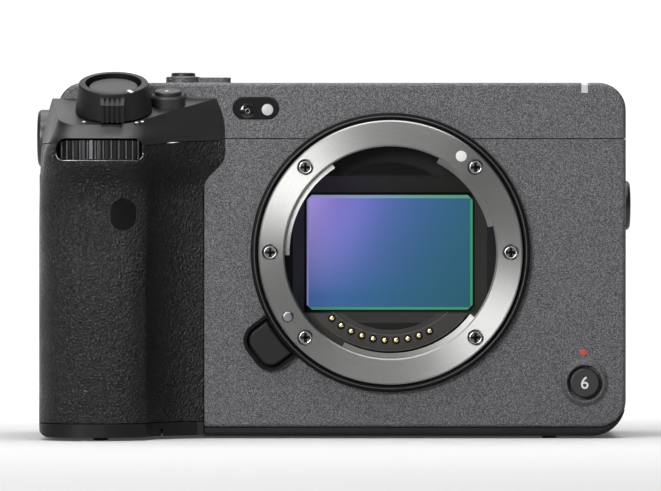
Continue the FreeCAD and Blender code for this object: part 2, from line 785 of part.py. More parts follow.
def vent_cutters():
    cutters = []
    for index in range(VENT_SLOTS):
        z = VENT_LOW + index * VENT_PITCH
        bends = (VENT_ROUND,) * 4
        wall = (BODY_RIGHT - WALL - 1, BODY_RIGHT + 1)
        cutters.append(plate_x(VENT_FRONT, VENT_REAR, z, z + VENT_WIDTH, bends, *wall))
    return cutters


def cover_screw_holes(radius):
    length = BOTTOM_THICK + WALL + 2
    return [rod(radius, (x, y, BODY_BOTTOM - 1), Z_AXIS, length) for x, y in COVER_SCREWS]


def shoe_box(margin, z0, z1):
    half = SHOE_INNER / 2 + SHOE_SIDE + margin
    return box(-half, half, BODY_REAR - SHOE_LENGTH - margin, BODY_REAR + 1, z0, z1)


def tally_slot(margin):
    half = TALLY_WIDTH / 2 + margin
    low = BODY_TOP - TALLY_DROP - margin
    back = BODY_FRONT + TALLY_BACK + margin
    front_arm = box(TALLY_X - half, TALLY_X + half, BODY_FRONT - 1, INNER_FRONT + margin, low, BODY_TOP + 1)
    top_arm = box(TALLY_X - half, TALLY_X + half, BODY_FRONT - 1, back, INNER_TOP - margin, BODY_TOP + 1)
    return joined([front_arm, top_arm])


def oval(width, height, y0, y1, x, z):
    bend = min(width, height) / 2 - 0.001
    return plate_y(x - width / 2, x + width / 2, z - height / 2, z + height / 2, (bend,) * 4, y0, y1)


def top_cover():
    shell = body_shell().common(box(-FAR, FAR, -FAR, FAR, TOP_SEAM_Z + SEAM / 2, FAR))
    shoe_floor = BODY_TOP - SHOE_TOP_SINK - SHOE_LIP - SHOE_SLOT - SHOE_FLOOR
    tray = shoe_box(WALL, shoe_floor - WALL, INNER_TOP + WALL / 2).common(
        box(-FAR, FAR, -FAR, BODY_REAR, -FAR, FAR)
    )
    roof = BODY_TOP - WALL / 2
    axle = rod(DIAL_AXLE_R, (REAR_DIAL_X, REAR_DIAL_Y, REAR_DIAL_LOW), Z_AXIS, roof - REAR_DIAL_LOW)
    washer_low = REAR_DIAL_HIGH + RUN
    washer = rod(DIAL_WASHER_R, (REAR_DIAL_X, REAR_DIAL_Y, washer_low), Z_AXIS, roof - washer_low)
    shell = joined([shell, tray, axle, washer])
    half = math.sqrt(REAR_DIAL_R**2 - (BODY_REAR - WALL - REAR_DIAL_Y) ** 2) + FREE
    cuts = [
        rod(SLEEVE_R + FIT, (0, BODY_FRONT - 1, 0), Y_AXIS, WALL + 2),
        shoe_box(FIT, shoe_floor, FAR),
        tally_slot(FIT / 2),
        oval(WINDOW_WIDTH + FIT, WINDOW_HEIGHT + FIT, BODY_FRONT - 1, INNER_FRONT + 1, WINDOW_X, WINDOW_Z),
        rod(SWITCH_HUB_R + RUN, (SWITCH_X, SWITCH_Y, INNER_TOP - 1), Z_AXIS, WALL + 2),
        rod(BUSH_R + FIT, (BODY_LEFT - 1, BOSS_Y, GRIP_BOSS_Z), X_AXIS, WALL + 2),
        box(
            REAR_DIAL_X - half,
            REAR_DIAL_X + half,
            BODY_REAR - WALL - 1,
            BODY_REAR + 1,
            REAR_DIAL_LOW - FREE,
            REAR_DIAL_HIGH + FREE,
        ),
    ]
    for x, y in TOP_THREADS:
        cuts.append(rod(BUSH_R + FIT, (x, y, INNER_TOP - 1), Z_AXIS, WALL + 2))
    return without(shell, cuts)


def hinge_spot(z):
    return (HINGE_X, BODY_REAR + MONITOR_GAP + MONITOR_THICK / 2, z)


def hinge_knuckle(z0, z1):
    """A knuckle of the monitor hinge that stands on the rear cover."""
    spot = hinge_spot(z0)
    barrel = rod(HINGE_BARREL_R, spot, Z_AXIS, z1 - z0)
    half = KNUCKLE_FOOT_HALF
    foot = box(HINGE_X - half, HINGE_X + half, BODY_REAR - WALL / 2, spot[1], z0, z1)
    return joined([barrel, foot])


def card_opening():
    return box(
        GRIP_SIDE_X - 1,
        BODY_LEFT + WALL + 1,
        SLOT_FRONT,
        SLOT_FRONT + slot_block_depth(),
        CARD_LOW - SLOT_BLOCK_WALL,
        CARD_LOW + CARD_Y + SLOT_BLOCK_WALL,
    )


def slot_block_depth():
    return CARD_PITCH + CARD_THICK + 2 * SLOT_BLOCK_WALL


def port_opening(y0, y1):
    """The window in the port side wall behind one door."""
    low = PORT_DOOR_LOW + PORT_LEDGE
    high = PORT_DOOR_HIGH - PORT_LEDGE
    bends = (PORT_LEDGE,) * 4
    return plate_x(y0 + PORT_LEDGE, y1 - PORT_LEDGE, low, high, bends, port_face(), BODY_RIGHT)


def port_face():
    """Where the wall behind the port doors ends, inside the body."""
    return BODY_RIGHT - WALL - PORT_LEDGE_THICK


def door_recess(y0, y1, low, high, x0, x1):
    return box(x0, x1, y0 - DOOR_GAP, y1 + DOOR_GAP, low - DOOR_GAP, high + DOOR_GAP)


def rear_cover():
    shell = body_shell().common(box(-FAR, FAR, SIDE_SEAM_Y + SEAM / 2, FAR, -FAR, TOP_SEAM_Z - SEAM / 2))
    port_ledge = box(
        port_face(),
        BODY_RIGHT - WALL / 2,
        PORT_DOOR_FRONT - WALL,
        PORT_DOOR_REAR + WALL,
        PORT_DOOR_LOW - WALL,
        PORT_DOOR_HIGH + WALL,
    )
    thumb_left = BODY_LEFT + THUMB_REST_INSET
    bends = (THUMB_REST_WIDTH / 2 - 0.1,) * 4
    thumb_right = thumb_left + THUMB_REST_WIDTH
    thumb_back = BODY_REAR + THUMB_REST_PROUD
    thumb_rest = plate_y(thumb_left, thumb_right, 0.0, THUMB_REST_HIGH, bends, INNER_REAR, thumb_back)
    depth = JOYSTICK_WELL_DEPTH + JOYSTICK_FLOOR
    socket = rod(JOYSTICK_SOCKET_R, (JOYSTICK_X, BODY_REAR - depth, JOYSTICK_Z), Y_AXIS, depth)
    post_length = WALL + WHEEL_PROUD * WHEEL_POST_SHARE
    wheel_post = rod(WHEEL_INNER_R - RUN, (WHEEL_X, INNER_REAR, WHEEL_Z), Y_AXIS, post_length)
    shell = joined(
        [
            shell,
            port_ledge,
            thumb_rest,
            socket,
            wheel_post,
            hinge_knuckle(HINGE_LOW, HINGE_LOW + KNUCKLE),
            hinge_knuckle(HINGE_HIGH - KNUCKLE, HINGE_HIGH),
        ]
    )
    bridge = box(BODY_LEFT - 1, GRIP_SEAM_X, SIDE_SEAM_Y - 1, GRIP_SIDE_END + SEAM, -FAR, LEATHER_BOTTOM)
    cuts = [
        bridge,
        battery_bay(),
        card_opening(),
        rod(HINGE_PIN_R + RUN, hinge_spot(HINGE_LOW - 1), Z_AXIS, HINGE_HIGH - HINGE_LOW + 2),
        rod(CENTRE_BUTTON_R + RUN, (WHEEL_X, BODY_REAR - WALL - 1, WHEEL_Z), Y_AXIS, 9),
        rod(JOYSTICK_WELL_R, (JOYSTICK_X, BODY_REAR - JOYSTICK_WELL_DEPTH, JOYSTICK_Z), Y_AXIS, FAR),
        rod(MENU_BUTTON_R + RUN, (MENU_X, BODY_REAR - WALL - 1, MENU_Z), Y_AXIS, 4),
        rod(MENU_BUTTON_R + RUN, (PLAY_X, BODY_REAR - WALL - 1, PLAY_Z), Y_AXIS, 4),
    ]
    for y0, y1 in port_door_spans():
        cuts.append(port_opening(y0, y1))
        floor = BODY_RIGHT - DOOR_THICK - RUN
        cuts.append(door_recess(y0, y1, PORT_DOOR_LOW, PORT_DOOR_HIGH, floor, BODY_RIGHT + 1))
    cuts.extend(cover_screw_holes(COVER_SCREW_R * 0.75))
    return without(shell, cuts)


def port_door_spans():
    middle = PORT_DOOR_SPLIT
    return [(PORT_DOOR_FRONT, middle - DOOR_GAP), (middle + DOOR_GAP, PORT_DOOR_REAR)]


def bottom_cover():
    top = BODY_BOTTOM + CRESCENT_TOP
    block = plate_y(BODY_LEFT, BODY_RIGHT, BODY_BOTTOM, top, (1.0, 0.001, 0, 0), BODY_FRONT, BODY_REAR)
    rounder = plate_y(
        BODY_LEFT - 1, BODY_RIGHT, BODY_BOTTOM, BODY_TOP, (0, BLACK_BOTTOM_ROUND, 0, 0), BODY_FRONT, BODY_REAR
    )
    block = eased(rounder, EDGE_ROUND, 1, BODY_FRONT).common(block)
    radii = (0, GREY_BOTTOM_ROUND, 0, 0)
    grey = plate_y(BODY_LEFT - 2, BODY_RIGHT, GREY_BOTTOM, BODY_TOP, radii, BODY_FRONT - 1, BODY_REAR + 1)
    grip_zone = box(-FAR, GRIP_SEAM_X, -FAR, GRIP_SIDE_END + SEAM, -FAR, FAR)
    bush_hole = rod(BUSH_R + FIT, (0, TRIPOD_Y, BODY_BOTTOM - 1), Z_AXIS, BOTTOM_THICK + 2)
    plate = without(block, [grey, grip_zone, bush_hole])
    return without(plate, cover_screw_holes(COVER_SCREW_R + FIT))


# Grip
def grip_band(z0, z1):
    return box(-FAR, FAR, -FAR, GRIP_BACK_Y, z0, z1)


def below_cap(z0, lift):
    """Everything in the grip from z0 up to the cap's seam, which is moved up by lift."""
    first = CAP_SEAM[0][0]
    last = CAP_SEAM[-1][0]
    points = [(x, -FAR, z + lift) for x, z in CAP_SEAM] + [(last, -FAR, z0), (first, -FAR, z0)]
    return prism(points, (0, FAR + GRIP_BACK_Y, 0))


def dial_floor():
    return DIAL_LOW - DIAL_FLOOR_GAP


def dial_slot():
    low = dial_floor()
    high = DIAL_HIGH + DIAL_ROOF_GAP
    rounds = (SLOT_ROUND_LOW, SLOT_ROUND_LOW, SLOT_ROUND_HIGH, SLOT_ROUND_HIGH)
    window = plate_y(SLOT_LEFT, SLOT_RIGHT, low, high, rounds, -FAR, DIAL_Y)
    well = rod(DIAL_R + FREE, (DIAL_X, DIAL_Y, low), Z_AXIS, high - low)
    return joined([window, well])


def grip_leather():
    skin = grip_solid(0, GRIP_BACK_Y).common(below_cap(LEATHER_BOTTOM, -SEAM / 2))
    skin = skin.cut(grip_solid(LEATHER_THICK, GRIP_BACK_Y + 1))
    side = box(
        GRIP_SIDE_X,
        GRIP_SIDE_X + LEATHER_THICK,
        GRIP_BACK_Y,
        LEATHER_SIDE_END,
        LEATHER_BOTTOM,
        GRIP_SIDE_TOP,
    )
    window = oval(IR_WIDTH + FIT, IR_HEIGHT + FIT, -FAR, GRIP_BACK_Y - 8, IR_X, IR_Z)
    return joined([without(skin, [dial_slot(), window]), side])


def grip_core(inset, back_y):
    return grip_solid(LEATHER_THICK + inset, back_y)


def grip_frame():
    back = BODY_FRONT + 1
    inner = grip_core(FIT, back).common(below_cap(LEATHER_BOTTOM, -SEAM / 2))
    hollow = grip_core(GRIP_FRAME_WALL, back + 1)
    deck_top = dial_floor() - DECK_THICK
    deck_low = BATTERY_TOP + RUN + DECK_GAP
    below = hollow.common(box(-FAR, FAR, -FAR, FAR, -FAR, deck_low))
    above = hollow.common(box(-FAR, FAR, -FAR, FAR, deck_top, FAR))
    axle_foot = (DIAL_X, DIAL_Y, deck_low + DECK_GAP / 2)
    axle = rod(DIAL_AXLE_R, axle_foot, Z_AXIS, DIAL_HIGH - deck_low)
    washer = rod(DIAL_WASHER_R, axle_foot, Z_AXIS, DIAL_LOW - RUN - axle_foot[2])
    front_part = without(inner, [below, above, dial_slot()])
    side_front = box(
        GRIP_SIDE_X + LEATHER_THICK + FIT / 2,
        BODY_LEFT - SEAM,
        GRIP_BACK_Y,
        LEATHER_SIDE_END + 0.5,
        LEATHER_BOTTOM,
        GRIP_SIDE_TOP,
    )
    side_rear = box(
        GRIP_SIDE_X, BODY_LEFT - SEAM, LEATHER_SIDE_END + SEAM, GRIP_SIDE_END, LEATHER_BOTTOM, GRIP_SIDE_TOP
    )
    shelf_end = SIDE_SEAM_Y - SEAM / 2
    shelf_front = GRIP_BACK_Y + SEAM
    shelf_low = GRIP_SIDE_TOP - WALL
    shelf = box(BODY_LEFT - 1, BODY_LEFT + WALL, shelf_front, shelf_end, shelf_low, GRIP_SIDE_TOP)
    upper = box(BODY_LEFT, BODY_LEFT + WALL, shelf_front, shelf_end, shelf_low, TOP_SEAM_Z - SEAM / 2)
    frame = joined([front_part, axle, washer, side_front, side_rear, shelf, upper])
    cuts = [
        battery_bay(),
        card_opening(),
        door_recess(
            CARD_DOOR_FRONT,
            CARD_DOOR_REAR,
            CARD_DOOR_LOW,
            CARD_DOOR_HIGH,
            GRIP_SIDE_X - 1,
            GRIP_SIDE_X + DOOR_THICK + RUN,
        ),
        rod(BUSH_R + FIT, (BODY_LEFT - 1, BOSS_Y, GRIP_BOSS_Z), X_AXIS, WALL + 2),
        tube(DIAL_R + FREE, DIAL_WASHER_R + RUN, (DIAL_X, DIAL_Y, dial_floor()), Z_AXIS, dial_height() + 2),
    ]
    return without(frame, cuts)


def tilted_roof(drop):
    """Everything above the grip's tilted top plane, lowered by drop."""
    low = tilted_height(-60.0) - drop
    high = tilted_height(40.0) - drop
    points = [(-120, -60.0, low), (-120, 40.0, high), (-120, 40.0, 90), (-120, -60.0, 90)]
    return prism(points, (200, 0, 0))


def grip_cap():
    whole = without(grip_solid(0, GRIP_BACK_Y), [below_cap(-FAR, SEAM / 2), tilted_roof(0), dial_slot()])
    hollow = grip_solid(CAP_WALL, GRIP_BACK_Y + 1).cut(tilted_roof(CAP_WALL))
    cap = whole.cut(hollow)
    seat_height = tilted_height(LEVER_Y)
    seat_low = (0, 0, -LEVER_SEAT_DROP - LEVER_SEAT_THICK)
    seat = rod(LEVER_HUB_R + LEVER_SEAT_RIM, seat_low, Z_AXIS, LEVER_SEAT_THICK)
    seat = tilted(seat, LEVER_X, LEVER_Y, seat_height, TOP_TILT)
    button_height = tilted_height(GRIP_BUTTON_Y)
    bevel_low = GRIP_COLLAR_HEIGHT - GRIP_COLLAR_BEVEL
    upper_r = GRIP_COLLAR_R - GRIP_COLLAR_STEP
    bevel = cone(GRIP_COLLAR_R, upper_r, (0, 0, bevel_low), Z_AXIS, GRIP_COLLAR_BEVEL)
    collar = rod(GRIP_COLLAR_R, (0, 0, -GRIP_BUTTON_DEPTH), Z_AXIS, bevel_low + GRIP_BUTTON_DEPTH)
    turret = tilted(joined([bevel, collar]), GRIP_BUTTON_X, GRIP_BUTTON_Y, button_height, GRIP_BUTTON_TILT)
    turret = turret.common(box(-FAR, FAR, -FAR, GRIP_BACK_Y, -FAR, FAR))
    cap = joined([cap, seat, turret])
    through = (0, 0, -2 * CAP_WALL - GRIP_BUTTON_DEPTH)
    bore = rod(LEVER_HUB_R + RUN, through, Z_AXIS, -2 * through[2])
    bore = tilted(bore, LEVER_X, LEVER_Y, seat_height, TOP_TILT)
    button_bore = rod(GRIP_BUTTON_R + RUN, through, Z_AXIS, -2 * through[2])
    button_bore = tilted(button_bore, GRIP_BUTTON_X, GRIP_BUTTON_Y, button_height, GRIP_BUTTON_TILT)
    return without(cap, [bore, button_bore])


def battery_door_box(margin, z0, z1):
    return box(
        BATTERY_LEFT - BATTERY_DOOR_MARGIN - margin,
        BATTERY_LEFT + BATTERY_X + BATTERY_DOOR_MARGIN + margin,
        BATTERY_FRONT - BATTERY_DOOR_MARGIN - margin,
        BATTERY_FRONT + BATTERY_Y + BATTERY_DOOR_MARGIN + margin,
        z0,
        z1,
    )


def latch_y():
    return BATTERY_FRONT + BATTERY_Y / 2


def base_corner():
    """What the round along the base's lower left edge takes away."""
    middle = (GRIP_SIDE_X + GRIP_BASE_ROUND, -FAR, GRIP_BASE_BOTTOM + GRIP_BASE_ROUND)
    corner = box(-FAR, middle[0], -FAR, FAR, -FAR, middle[2])
    return corner.cut(rod(GRIP_BASE_ROUND, middle, Y_AXIS, 2 * FAR))


def grip_base():
    top = LEATHER_BOTTOM - SEAM
    front = grip_solid(0, GRIP_BACK_Y).common(grip_band(GRIP_BASE_BOTTOM, top))
    rear = box(GRIP_SIDE_X, GRIP_SEAM_X - SEAM, GRIP_BACK_Y - 0.5, GRIP_SIDE_END, GRIP_BASE_BOTTOM, top)
    base = joined([front, rear])
    tongue = LATCH_TONGUE + FREE
    notch = box(
        BATTERY_LEFT - BATTERY_DOOR_MARGIN - tongue,
        BATTERY_LEFT,
        latch_y() - LATCH_Y / 2 - RUN,
        latch_y() + LATCH_Y / 2 + RUN,
        GRIP_BASE_BOTTOM - 1,
        GRIP_BASE_BOTTOM + DOOR_THICK,
    )
    recess = battery_door_box(DOOR_GAP, -FAR, GRIP_BASE_BOTTOM + DOOR_THICK + RUN)
    return without(base, [battery_bay(), recess, notch, base_corner()])


def ir_window():
    skin = grip_solid(0, GRIP_BACK_Y).cut(grip_solid(LEATHER_THICK, GRIP_BACK_Y + 1))
    return skin.common(oval(IR_WIDTH, IR_HEIGHT, -FAR, GRIP_BACK_Y - 8, IR_X, IR_Z))


# Lens mount
def mount_flange():
    ring = tube(FLANGE_R, THROAT_R, (0, 0, 0), Y_AXIS, FLANGE_THICK)
    ring = ring.makeChamfer(0.3, edges_at(ring, 1, 0.0))
    tabs = [
        sector(TAB_INNER_R, THROAT_R + 0.5, first, last, TAB_FRONT, TAB_FRONT + TAB_THICK)
        for first, last in TAB_ANGLES
    ]
    cuts = []
    for angle in MOUNT_SCREW_ANGLES:
        x, z = polar(MOUNT_SCREW_PCD / 2, angle)
        cuts.append(rod(SCREW_HEAD_R + SCREW_SEAT_GAP, (x, -1, z), Y_AXIS, 1 + SCREW_SINK + SCREW_HEAD_THICK))
        cuts.append(rod(SCREW_SHANK_R + FIT / 2, (x, 0, z), Y_AXIS, FLANGE_THICK + 1))
    x, z = polar(DOT_PCD / 2, DOT_ANGLE)
    cuts.append(rod(DOT_R, (x, -1, z), Y_AXIS, 1 + DOT_SINK))
    x, z = polar(PIN_PCD / 2, PIN_ANGLE)
    cuts.append(rod(PIN_R + FIT, (x, -1, z), Y_AXIS, FLANGE_THICK + 2))
    return without(joined([ring] + tabs), cuts)


def mount_screws():
    screws = []
    slot = SCREW_SLOT / 2
    reach = SCREW_CROSS / 2
    depth = SCREW_SINK + SCREW_CROSS_DEPTH
    for angle in MOUNT_SCREW_ANGLES:
        x, z = polar(MOUNT_SCREW_PCD / 2, angle)
        head = rod(SCREW_HEAD_R, (x, SCREW_SINK, z), Y_AXIS, SCREW_HEAD_THICK)
        head = head.makeFillet(SCREW_ROUND, edges_at(head, 1, SCREW_SINK))
        shank_start = SCREW_SINK + SCREW_HEAD_THICK / 2
        shank = rod(SCREW_SHANK_R, (x, shank_start, z), Y_AXIS, SCREW_LENGTH - SCREW_SINK)
        cross = [
            box(x - reach, x + reach, -1, depth, z - slot, z + slot),
            box(x - slot, x + slot, -1, depth, z - reach, z + reach),
        ]
        screws.append(without(joined([head, shank]), cross))
    return Part.makeCompound(screws)


def mount_trim_ring():
    lip = tube(TRIM_R, TRIM_INNER_R, (0, TRIM_FRONT, 0), Y_AXIS, BODY_FRONT - TRIM_FRONT)
    lip = lip.makeFillet(0.45, edges_at(lip, 1, TRIM_FRONT))
    sleeve = tube(SLEEVE_R, TRIM_INNER_R, (0, BODY_FRONT - 0.5, 0), Y_AXIS, WALL + 0.5)
    bezel = release_plate(0, BODY_FRONT - RELEASE_RIM_PROUD, BODY_FRONT)
    foot = release_plate(RELEASE_RIM / 2, BODY_FRONT - 0.5, INNER_FRONT)
    whole = joined([lip, sleeve, bezel, foot])
    pocket = release_plate(RELEASE_RIM, -FAR, INNER_FRONT - RELEASE_FLOOR)
    ring_space = rod(TRIM_INNER_R, (0, -FAR, 0), Y_AXIS, 2 * FAR)
    pocket_keep = pocket.cut(rod(TRIM_R, (0, -FAR, 0), Y_AXIS, 2 * FAR))
    x, z = polar(release_stem_radius(), RELEASE_ANGLE)
    stem_hole = rod(RELEASE_STEM_R + RUN, (x, 0, z), Y_AXIS, 9)
    return without(whole, [ring_space, pocket_keep, stem_hole])


def release_stem_radius():
    return (TRIM_R + RELEASE_REACH) / 2


def lens_release_button():
    front = BODY_FRONT - RELEASE_PROUD
    margin = RELEASE_RIM + RELEASE_GAP
    thick = RELEASE_PROUD + WALL - RELEASE_FLOOR - RELEASE_TRAVEL - RUN
    button = release_plate(margin, front, front + thick)
    button = button.cut(rod(TRIM_R + RELEASE_GAP / 2, (0, -FAR, 0), Y_AXIS, 2 * FAR))
    button = eased(button, 0.5, 1, front)
    x, z = polar(release_stem_radius(), RELEASE_ANGLE)
    stem_front = front + thick / 2
    stem = rod(RELEASE_STEM_R, (x, stem_front, z), Y_AXIS, CHASSIS_BACK - RELEASE_TRAVEL - stem_front)
    return joined([button, stem])


def lens_lock_pin():
    x, z = polar(PIN_PCD / 2, PIN_ANGLE)
    pin = rod(PIN_R, (x, -PIN_PROUD, z), Y_AXIS, PIN_LENGTH)
    return pin.makeFillet(0.4, edges_at(pin, 1, -PIN_PROUD))


def contact_angles():
    return [CONTACT_FIRST + CONTACT_STEP * index for index in range(CONTACT_COUNT)]


def contact_block():
    middle = CONTACT_STEP_FRONT
    spot = (0, middle, 0)
    steps = [
        tube(CONTACT_BLOCK_STEP_R + 0.2, CONTACT_BLOCK_INNER_R, spot, Y_AXIS, CHASSIS_BACK - middle),
        tube(
            CONTACT_BLOCK_OUTER_R,
            CONTACT_BLOCK_STEP_R,
            (0, CONTACT_BLOCK_FRONT, 0),
            Y_AXIS,
            CHASSIS_BACK - CONTACT_BLOCK_FRONT,
        ),
        tube(chassis_hole_r() - FIT, CONTACT_BLOCK_OUTER_R - 0.2, spot, Y_AXIS, CHASSIS_BACK - middle),
    ]
    ring = joined(steps).common(box(-FAR, FAR, -FAR, FAR, -FAR, CONTACT_BLOCK_TOP))
    holes = []
    for angle in contact_angles():
        x, z = polar(CONTACT_PIN_PCD / 2, angle)
        holes.append(rod(CONTACT_PIN_R + 0.02, (x, 0, z), Y_AXIS, CHASSIS_BACK + 1))
    return without(ring, holes)


def contact_pins():
    pins = []
    for angle in contact_angles():
        x, z = polar(CONTACT_PIN_PCD / 2, angle)
        pin = rod(CONTACT_PIN_R, (x, CONTACT_PIN_FRONT, z), Y_AXIS, CHASSIS_BACK - CONTACT_PIN_FRONT)
        pins.append(pin.makeFillet(CONTACT_PIN_R * 0.8, edges_at(pin, 1, CONTACT_PIN_FRONT)))
    return Part.makeCompound(pins)


# Chassis, baffle and sensor
def chassis_hole_r():
    return THROAT_R + 0.9


def pillar_spots():
    return [(sx * PILLAR_X, sz * PILLAR_Z) for sx in (-1, 1) for sz in (-1, 1)]


def chassis():
    plate = plate_y(
        -CHASSIS_HALF_X, CHASSIS_HALF_X, -CHASSIS_HALF_Z, CHASSIS_HALF_Z, (4,) * 4, CHASSIS_Y, CHASSIS_BACK
    )
    cuts = [rod(chassis_hole_r(), (0, 0, 0), Y_AXIS, FAR)]
    for angle in MOUNT_SCREW_ANGLES:
        x, z = polar(MOUNT_SCREW_PCD / 2, angle)
        cuts.append(rod(SCREW_SHANK_R + FIT / 2, (x, 0, z), Y_AXIS, FAR))
    x, z = polar(PIN_PCD / 2, PIN_ANGLE)
    cuts.append(rod(PIN_R + FIT, (x, 0, z), Y_AXIS, FAR))
    x, z = polar(release_stem_radius(), RELEASE_ANGLE)
    cuts.append(rod(RELEASE_STEM_R + RUN, (x, 0, z), Y_AXIS, FAR))
    return without(plate, cuts)


def gate_loft(margin, y0, y1):
    """The funnel from the throat down to the sensor, drawn out by margin."""
    half = BAFFLE_FRONT_HALF_X + margin
    low = BAFFLE_FRONT_BOTTOM - margin
    high = BAFFLE_FRONT_TOP + margin
    gate_x = GATE_X + margin
    gate_z = GATE_Z + margin
    front = [V(-half, y0, low), V(half, y0, low), V(half, y0, high), V(-half, y0, high)]
    rear = [V(-gate_x, y1, -gate_z), V(gate_x, y1, -gate_z), V(gate_x, y1, gate_z), V(-gate_x, y1, gate_z)]
    wires = [Part.makePolygon(corners + [corners[0]]) for corners in (front, rear)]
    return Part.makeLoft(wires, True, True)


def throat_baffle():
    front = CHASSIS_BACK + FIT
    plate = plate_y(
        -BAFFLE_HALF_X, BAFFLE_HALF_X, -BAFFLE_HALF_Z, BAFFLE_HALF_Z, (5,) * 4, front, front + BAFFLE_PLATE
    )
    funnel = gate_loft(BAFFLE_WALL, front, BAFFLE_REAR_Y)
    return joined([plate, funnel]).cut(gate_loft(0, front - 0.001, BAFFLE_REAR_Y + 0.001))


def sensor_mask():
    front = BAFFLE_REAR_Y + FIT
    plate = plate_y(-MASK_HALF_X, MASK_HALF_X, -MASK_HALF_Z, MASK_HALF_Z, (2,) * 4, front, front + MASK_THICK)
    return plate.cut(box(-GATE_X, GATE_X, 0, FAR, -GATE_Z, GATE_Z))


def image_sensor():
    half_x = SENSOR_WIDTH / 2
    half_z = SENSOR_HEIGHT / 2
    cut = SENSOR_CUT
    points = []
    for sx, sz in ((-1, -1), (1, -1), (1, 1), (-1, 1)):
        near = (sx * half_x, SENSOR_Y, sz * (half_z - cut))
        far = (sx * (half_x - cut), SENSOR_Y, sz * half_z)
        points.extend([near, far] if sx * sz > 0 else [far, near])
    return prism(points, (0, SENSOR_THICK, 0))


def sensor_carriage():
    half_x = SENSOR_WIDTH / 2 + CARRIAGE_MARGIN
    half_z = SENSOR_HEIGHT / 2 + CARRIAGE_MARGIN
    return plate_y(-half_x, half_x, -half_z, half_z, (2,) * 4, CARRIAGE_Y, CARRIAGE_Y + CARRIAGE_THICK)


def stabiliser_slider():
    half_x = SENSOR_WIDTH / 2 + CARRIAGE_MARGIN + 1
    half_z = SENSOR_HEIGHT / 2 + CARRIAGE_MARGIN + 1
    bends = (SLIDER_ROUND,) * 4
    plate = plate_y(-half_x, half_x, -half_z, half_z, bends, SLIDER_Y, SLIDER_Y + SLIDER_THICK)
    open_x = half_x - SLIDER_RAIL
    open_z = half_z - SLIDER_RAIL
    return plate.cut(plate_y(-open_x, open_x, -open_z, open_z, bends, 0, FAR))


def stabiliser_base():
    plate = plate_y(-BASE_HALF_X, BASE_HALF_X, -BASE_HALF_Z, BASE_HALF_Z, (3,) * 4, BASE_Y, BASE_BACK)
    pillars = []
    for x, z in pillar_spots():
        pillars.append(rod(PILLAR_R, (x, CHASSIS_BACK, z), Y_AXIS, BOARD_Y - CHASSIS_BACK))
    base = joined([plate] + pillars)
    return base


def heat_sink():
    plate_low = BASE_BACK + SINK_PAD_THICK
    plate_high = plate_low + SINK_PLATE_THICK
    pad = box(-SINK_PAD_HALF, SINK_PAD_HALF, BASE_BACK, plate_high, -SINK_PAD_HALF, SINK_PAD_HALF)
    plate = box(-SINK_HALF_X, SINK_HALF_X, plate_low, plate_high, -SINK_HALF_Z, SINK_HALF_Z)
    fins = []
    pitch = (2 * SINK_HALF_X - SINK_FIN_THICK) / (SINK_FINS - 1)
    for index in range(SINK_FINS):
        x = -SINK_HALF_X + index * pitch
        fin_end = plate_high + SINK_FIN_HEIGHT
        fins.append(box(x, x + SINK_FIN_THICK, plate_low, fin_end, -SINK_HALF_Z, SINK_HALF_Z))
    return joined([pad, plate] + fins)


def main_board():
    left = SLOT_BLOCK_LEFT + SLOT_BLOCK_X + FREE
    board = box(left, BOARD_RIGHT, BOARD_Y, BOARD_Y + BOARD_THICK, BOARD_BOTTOM, BOARD_TOP)
    chips = []
    for x, z, width, height in CHIPS:
        chips.append(box(x, x + width, BOARD_Y - CHIP_THICK, BOARD_Y, z, z + height))
    return joined([board] + chips)


def fan_centre(y):
    return (FAN_X, y, FAN_Z)


def fan_housing():
    half = FAN_R + FAN_WALL
    case = plate_y(
        FAN_X - half, FAN_X + half, FAN_Z - half, FAN_Z + half, (3,) * 4, FAN_Y, FAN_Y + FAN_THICK
    )
    low = FAN_Y + FAN_WALL
    high = FAN_Y + FAN_THICK - FAN_WALL
    inside = rod(FAN_R, fan_centre(low), Y_AXIS, high - low)
    inlet = rod(FAN_R * FAN_INLET_SHARE, fan_centre(FAN_Y - 1), Y_AXIS, FAN_WALL + 2)
    outlet = box(FAN_X, FAN_X + half + 1, low, high, FAN_Z - FAN_R, FAN_Z)
    post = rod(FAN_POST_R, fan_centre(low + FREE), Y_AXIS, FAN_THICK - FAN_WALL - FREE)
    legs = []
    for sx, sz in ((-1, -1), (1, -1), (-1, 1)):
        inset = half - FAN_LEG_INSET
        spot = (FAN_X + sx * inset, high, FAN_Z + sz * inset)
        legs.append(rod(FAN_LEG_R, spot, Y_AXIS, BOARD_Y - high))
    return joined([without(case, [inside, inlet, outlet]), post] + legs)


def fan_impeller():
    low = FAN_Y + FAN_WALL + FREE
    height = FAN_THICK - 2 * FAN_WALL - 2 * FREE
    hub = rod(FAN_HUB_R, fan_centre(low), Y_AXIS, height)
    root = FAN_HUB_R - 0.4
    half = BLADE_THICK / 2
    blades = []
    for index in range(FAN_BLADES):
        blade = box(root, FAN_R - 2 * FREE, low, low + height, -half, half)
        blade.rotate(V(root, 0, 0), V(*Y_AXIS), BLADE_SWEEP)
        blade.rotate(V(0, 0, 0), V(*Y_AXIS), 360.0 * index / FAN_BLADES)
        blade.translate(V(FAN_X, 0, FAN_Z))
        blades.append(blade)
    disc = rod(FAN_R - 3 * FREE, fan_centre(low + height - FAN_DISC_THICK), Y_AXIS, FAN_DISC_THICK)
    wheel = joined([hub, disc] + blades)
    return wheel.cut(rod(FAN_POST_R + RUN, fan_centre(low - 1), Y_AXIS, height + 2))


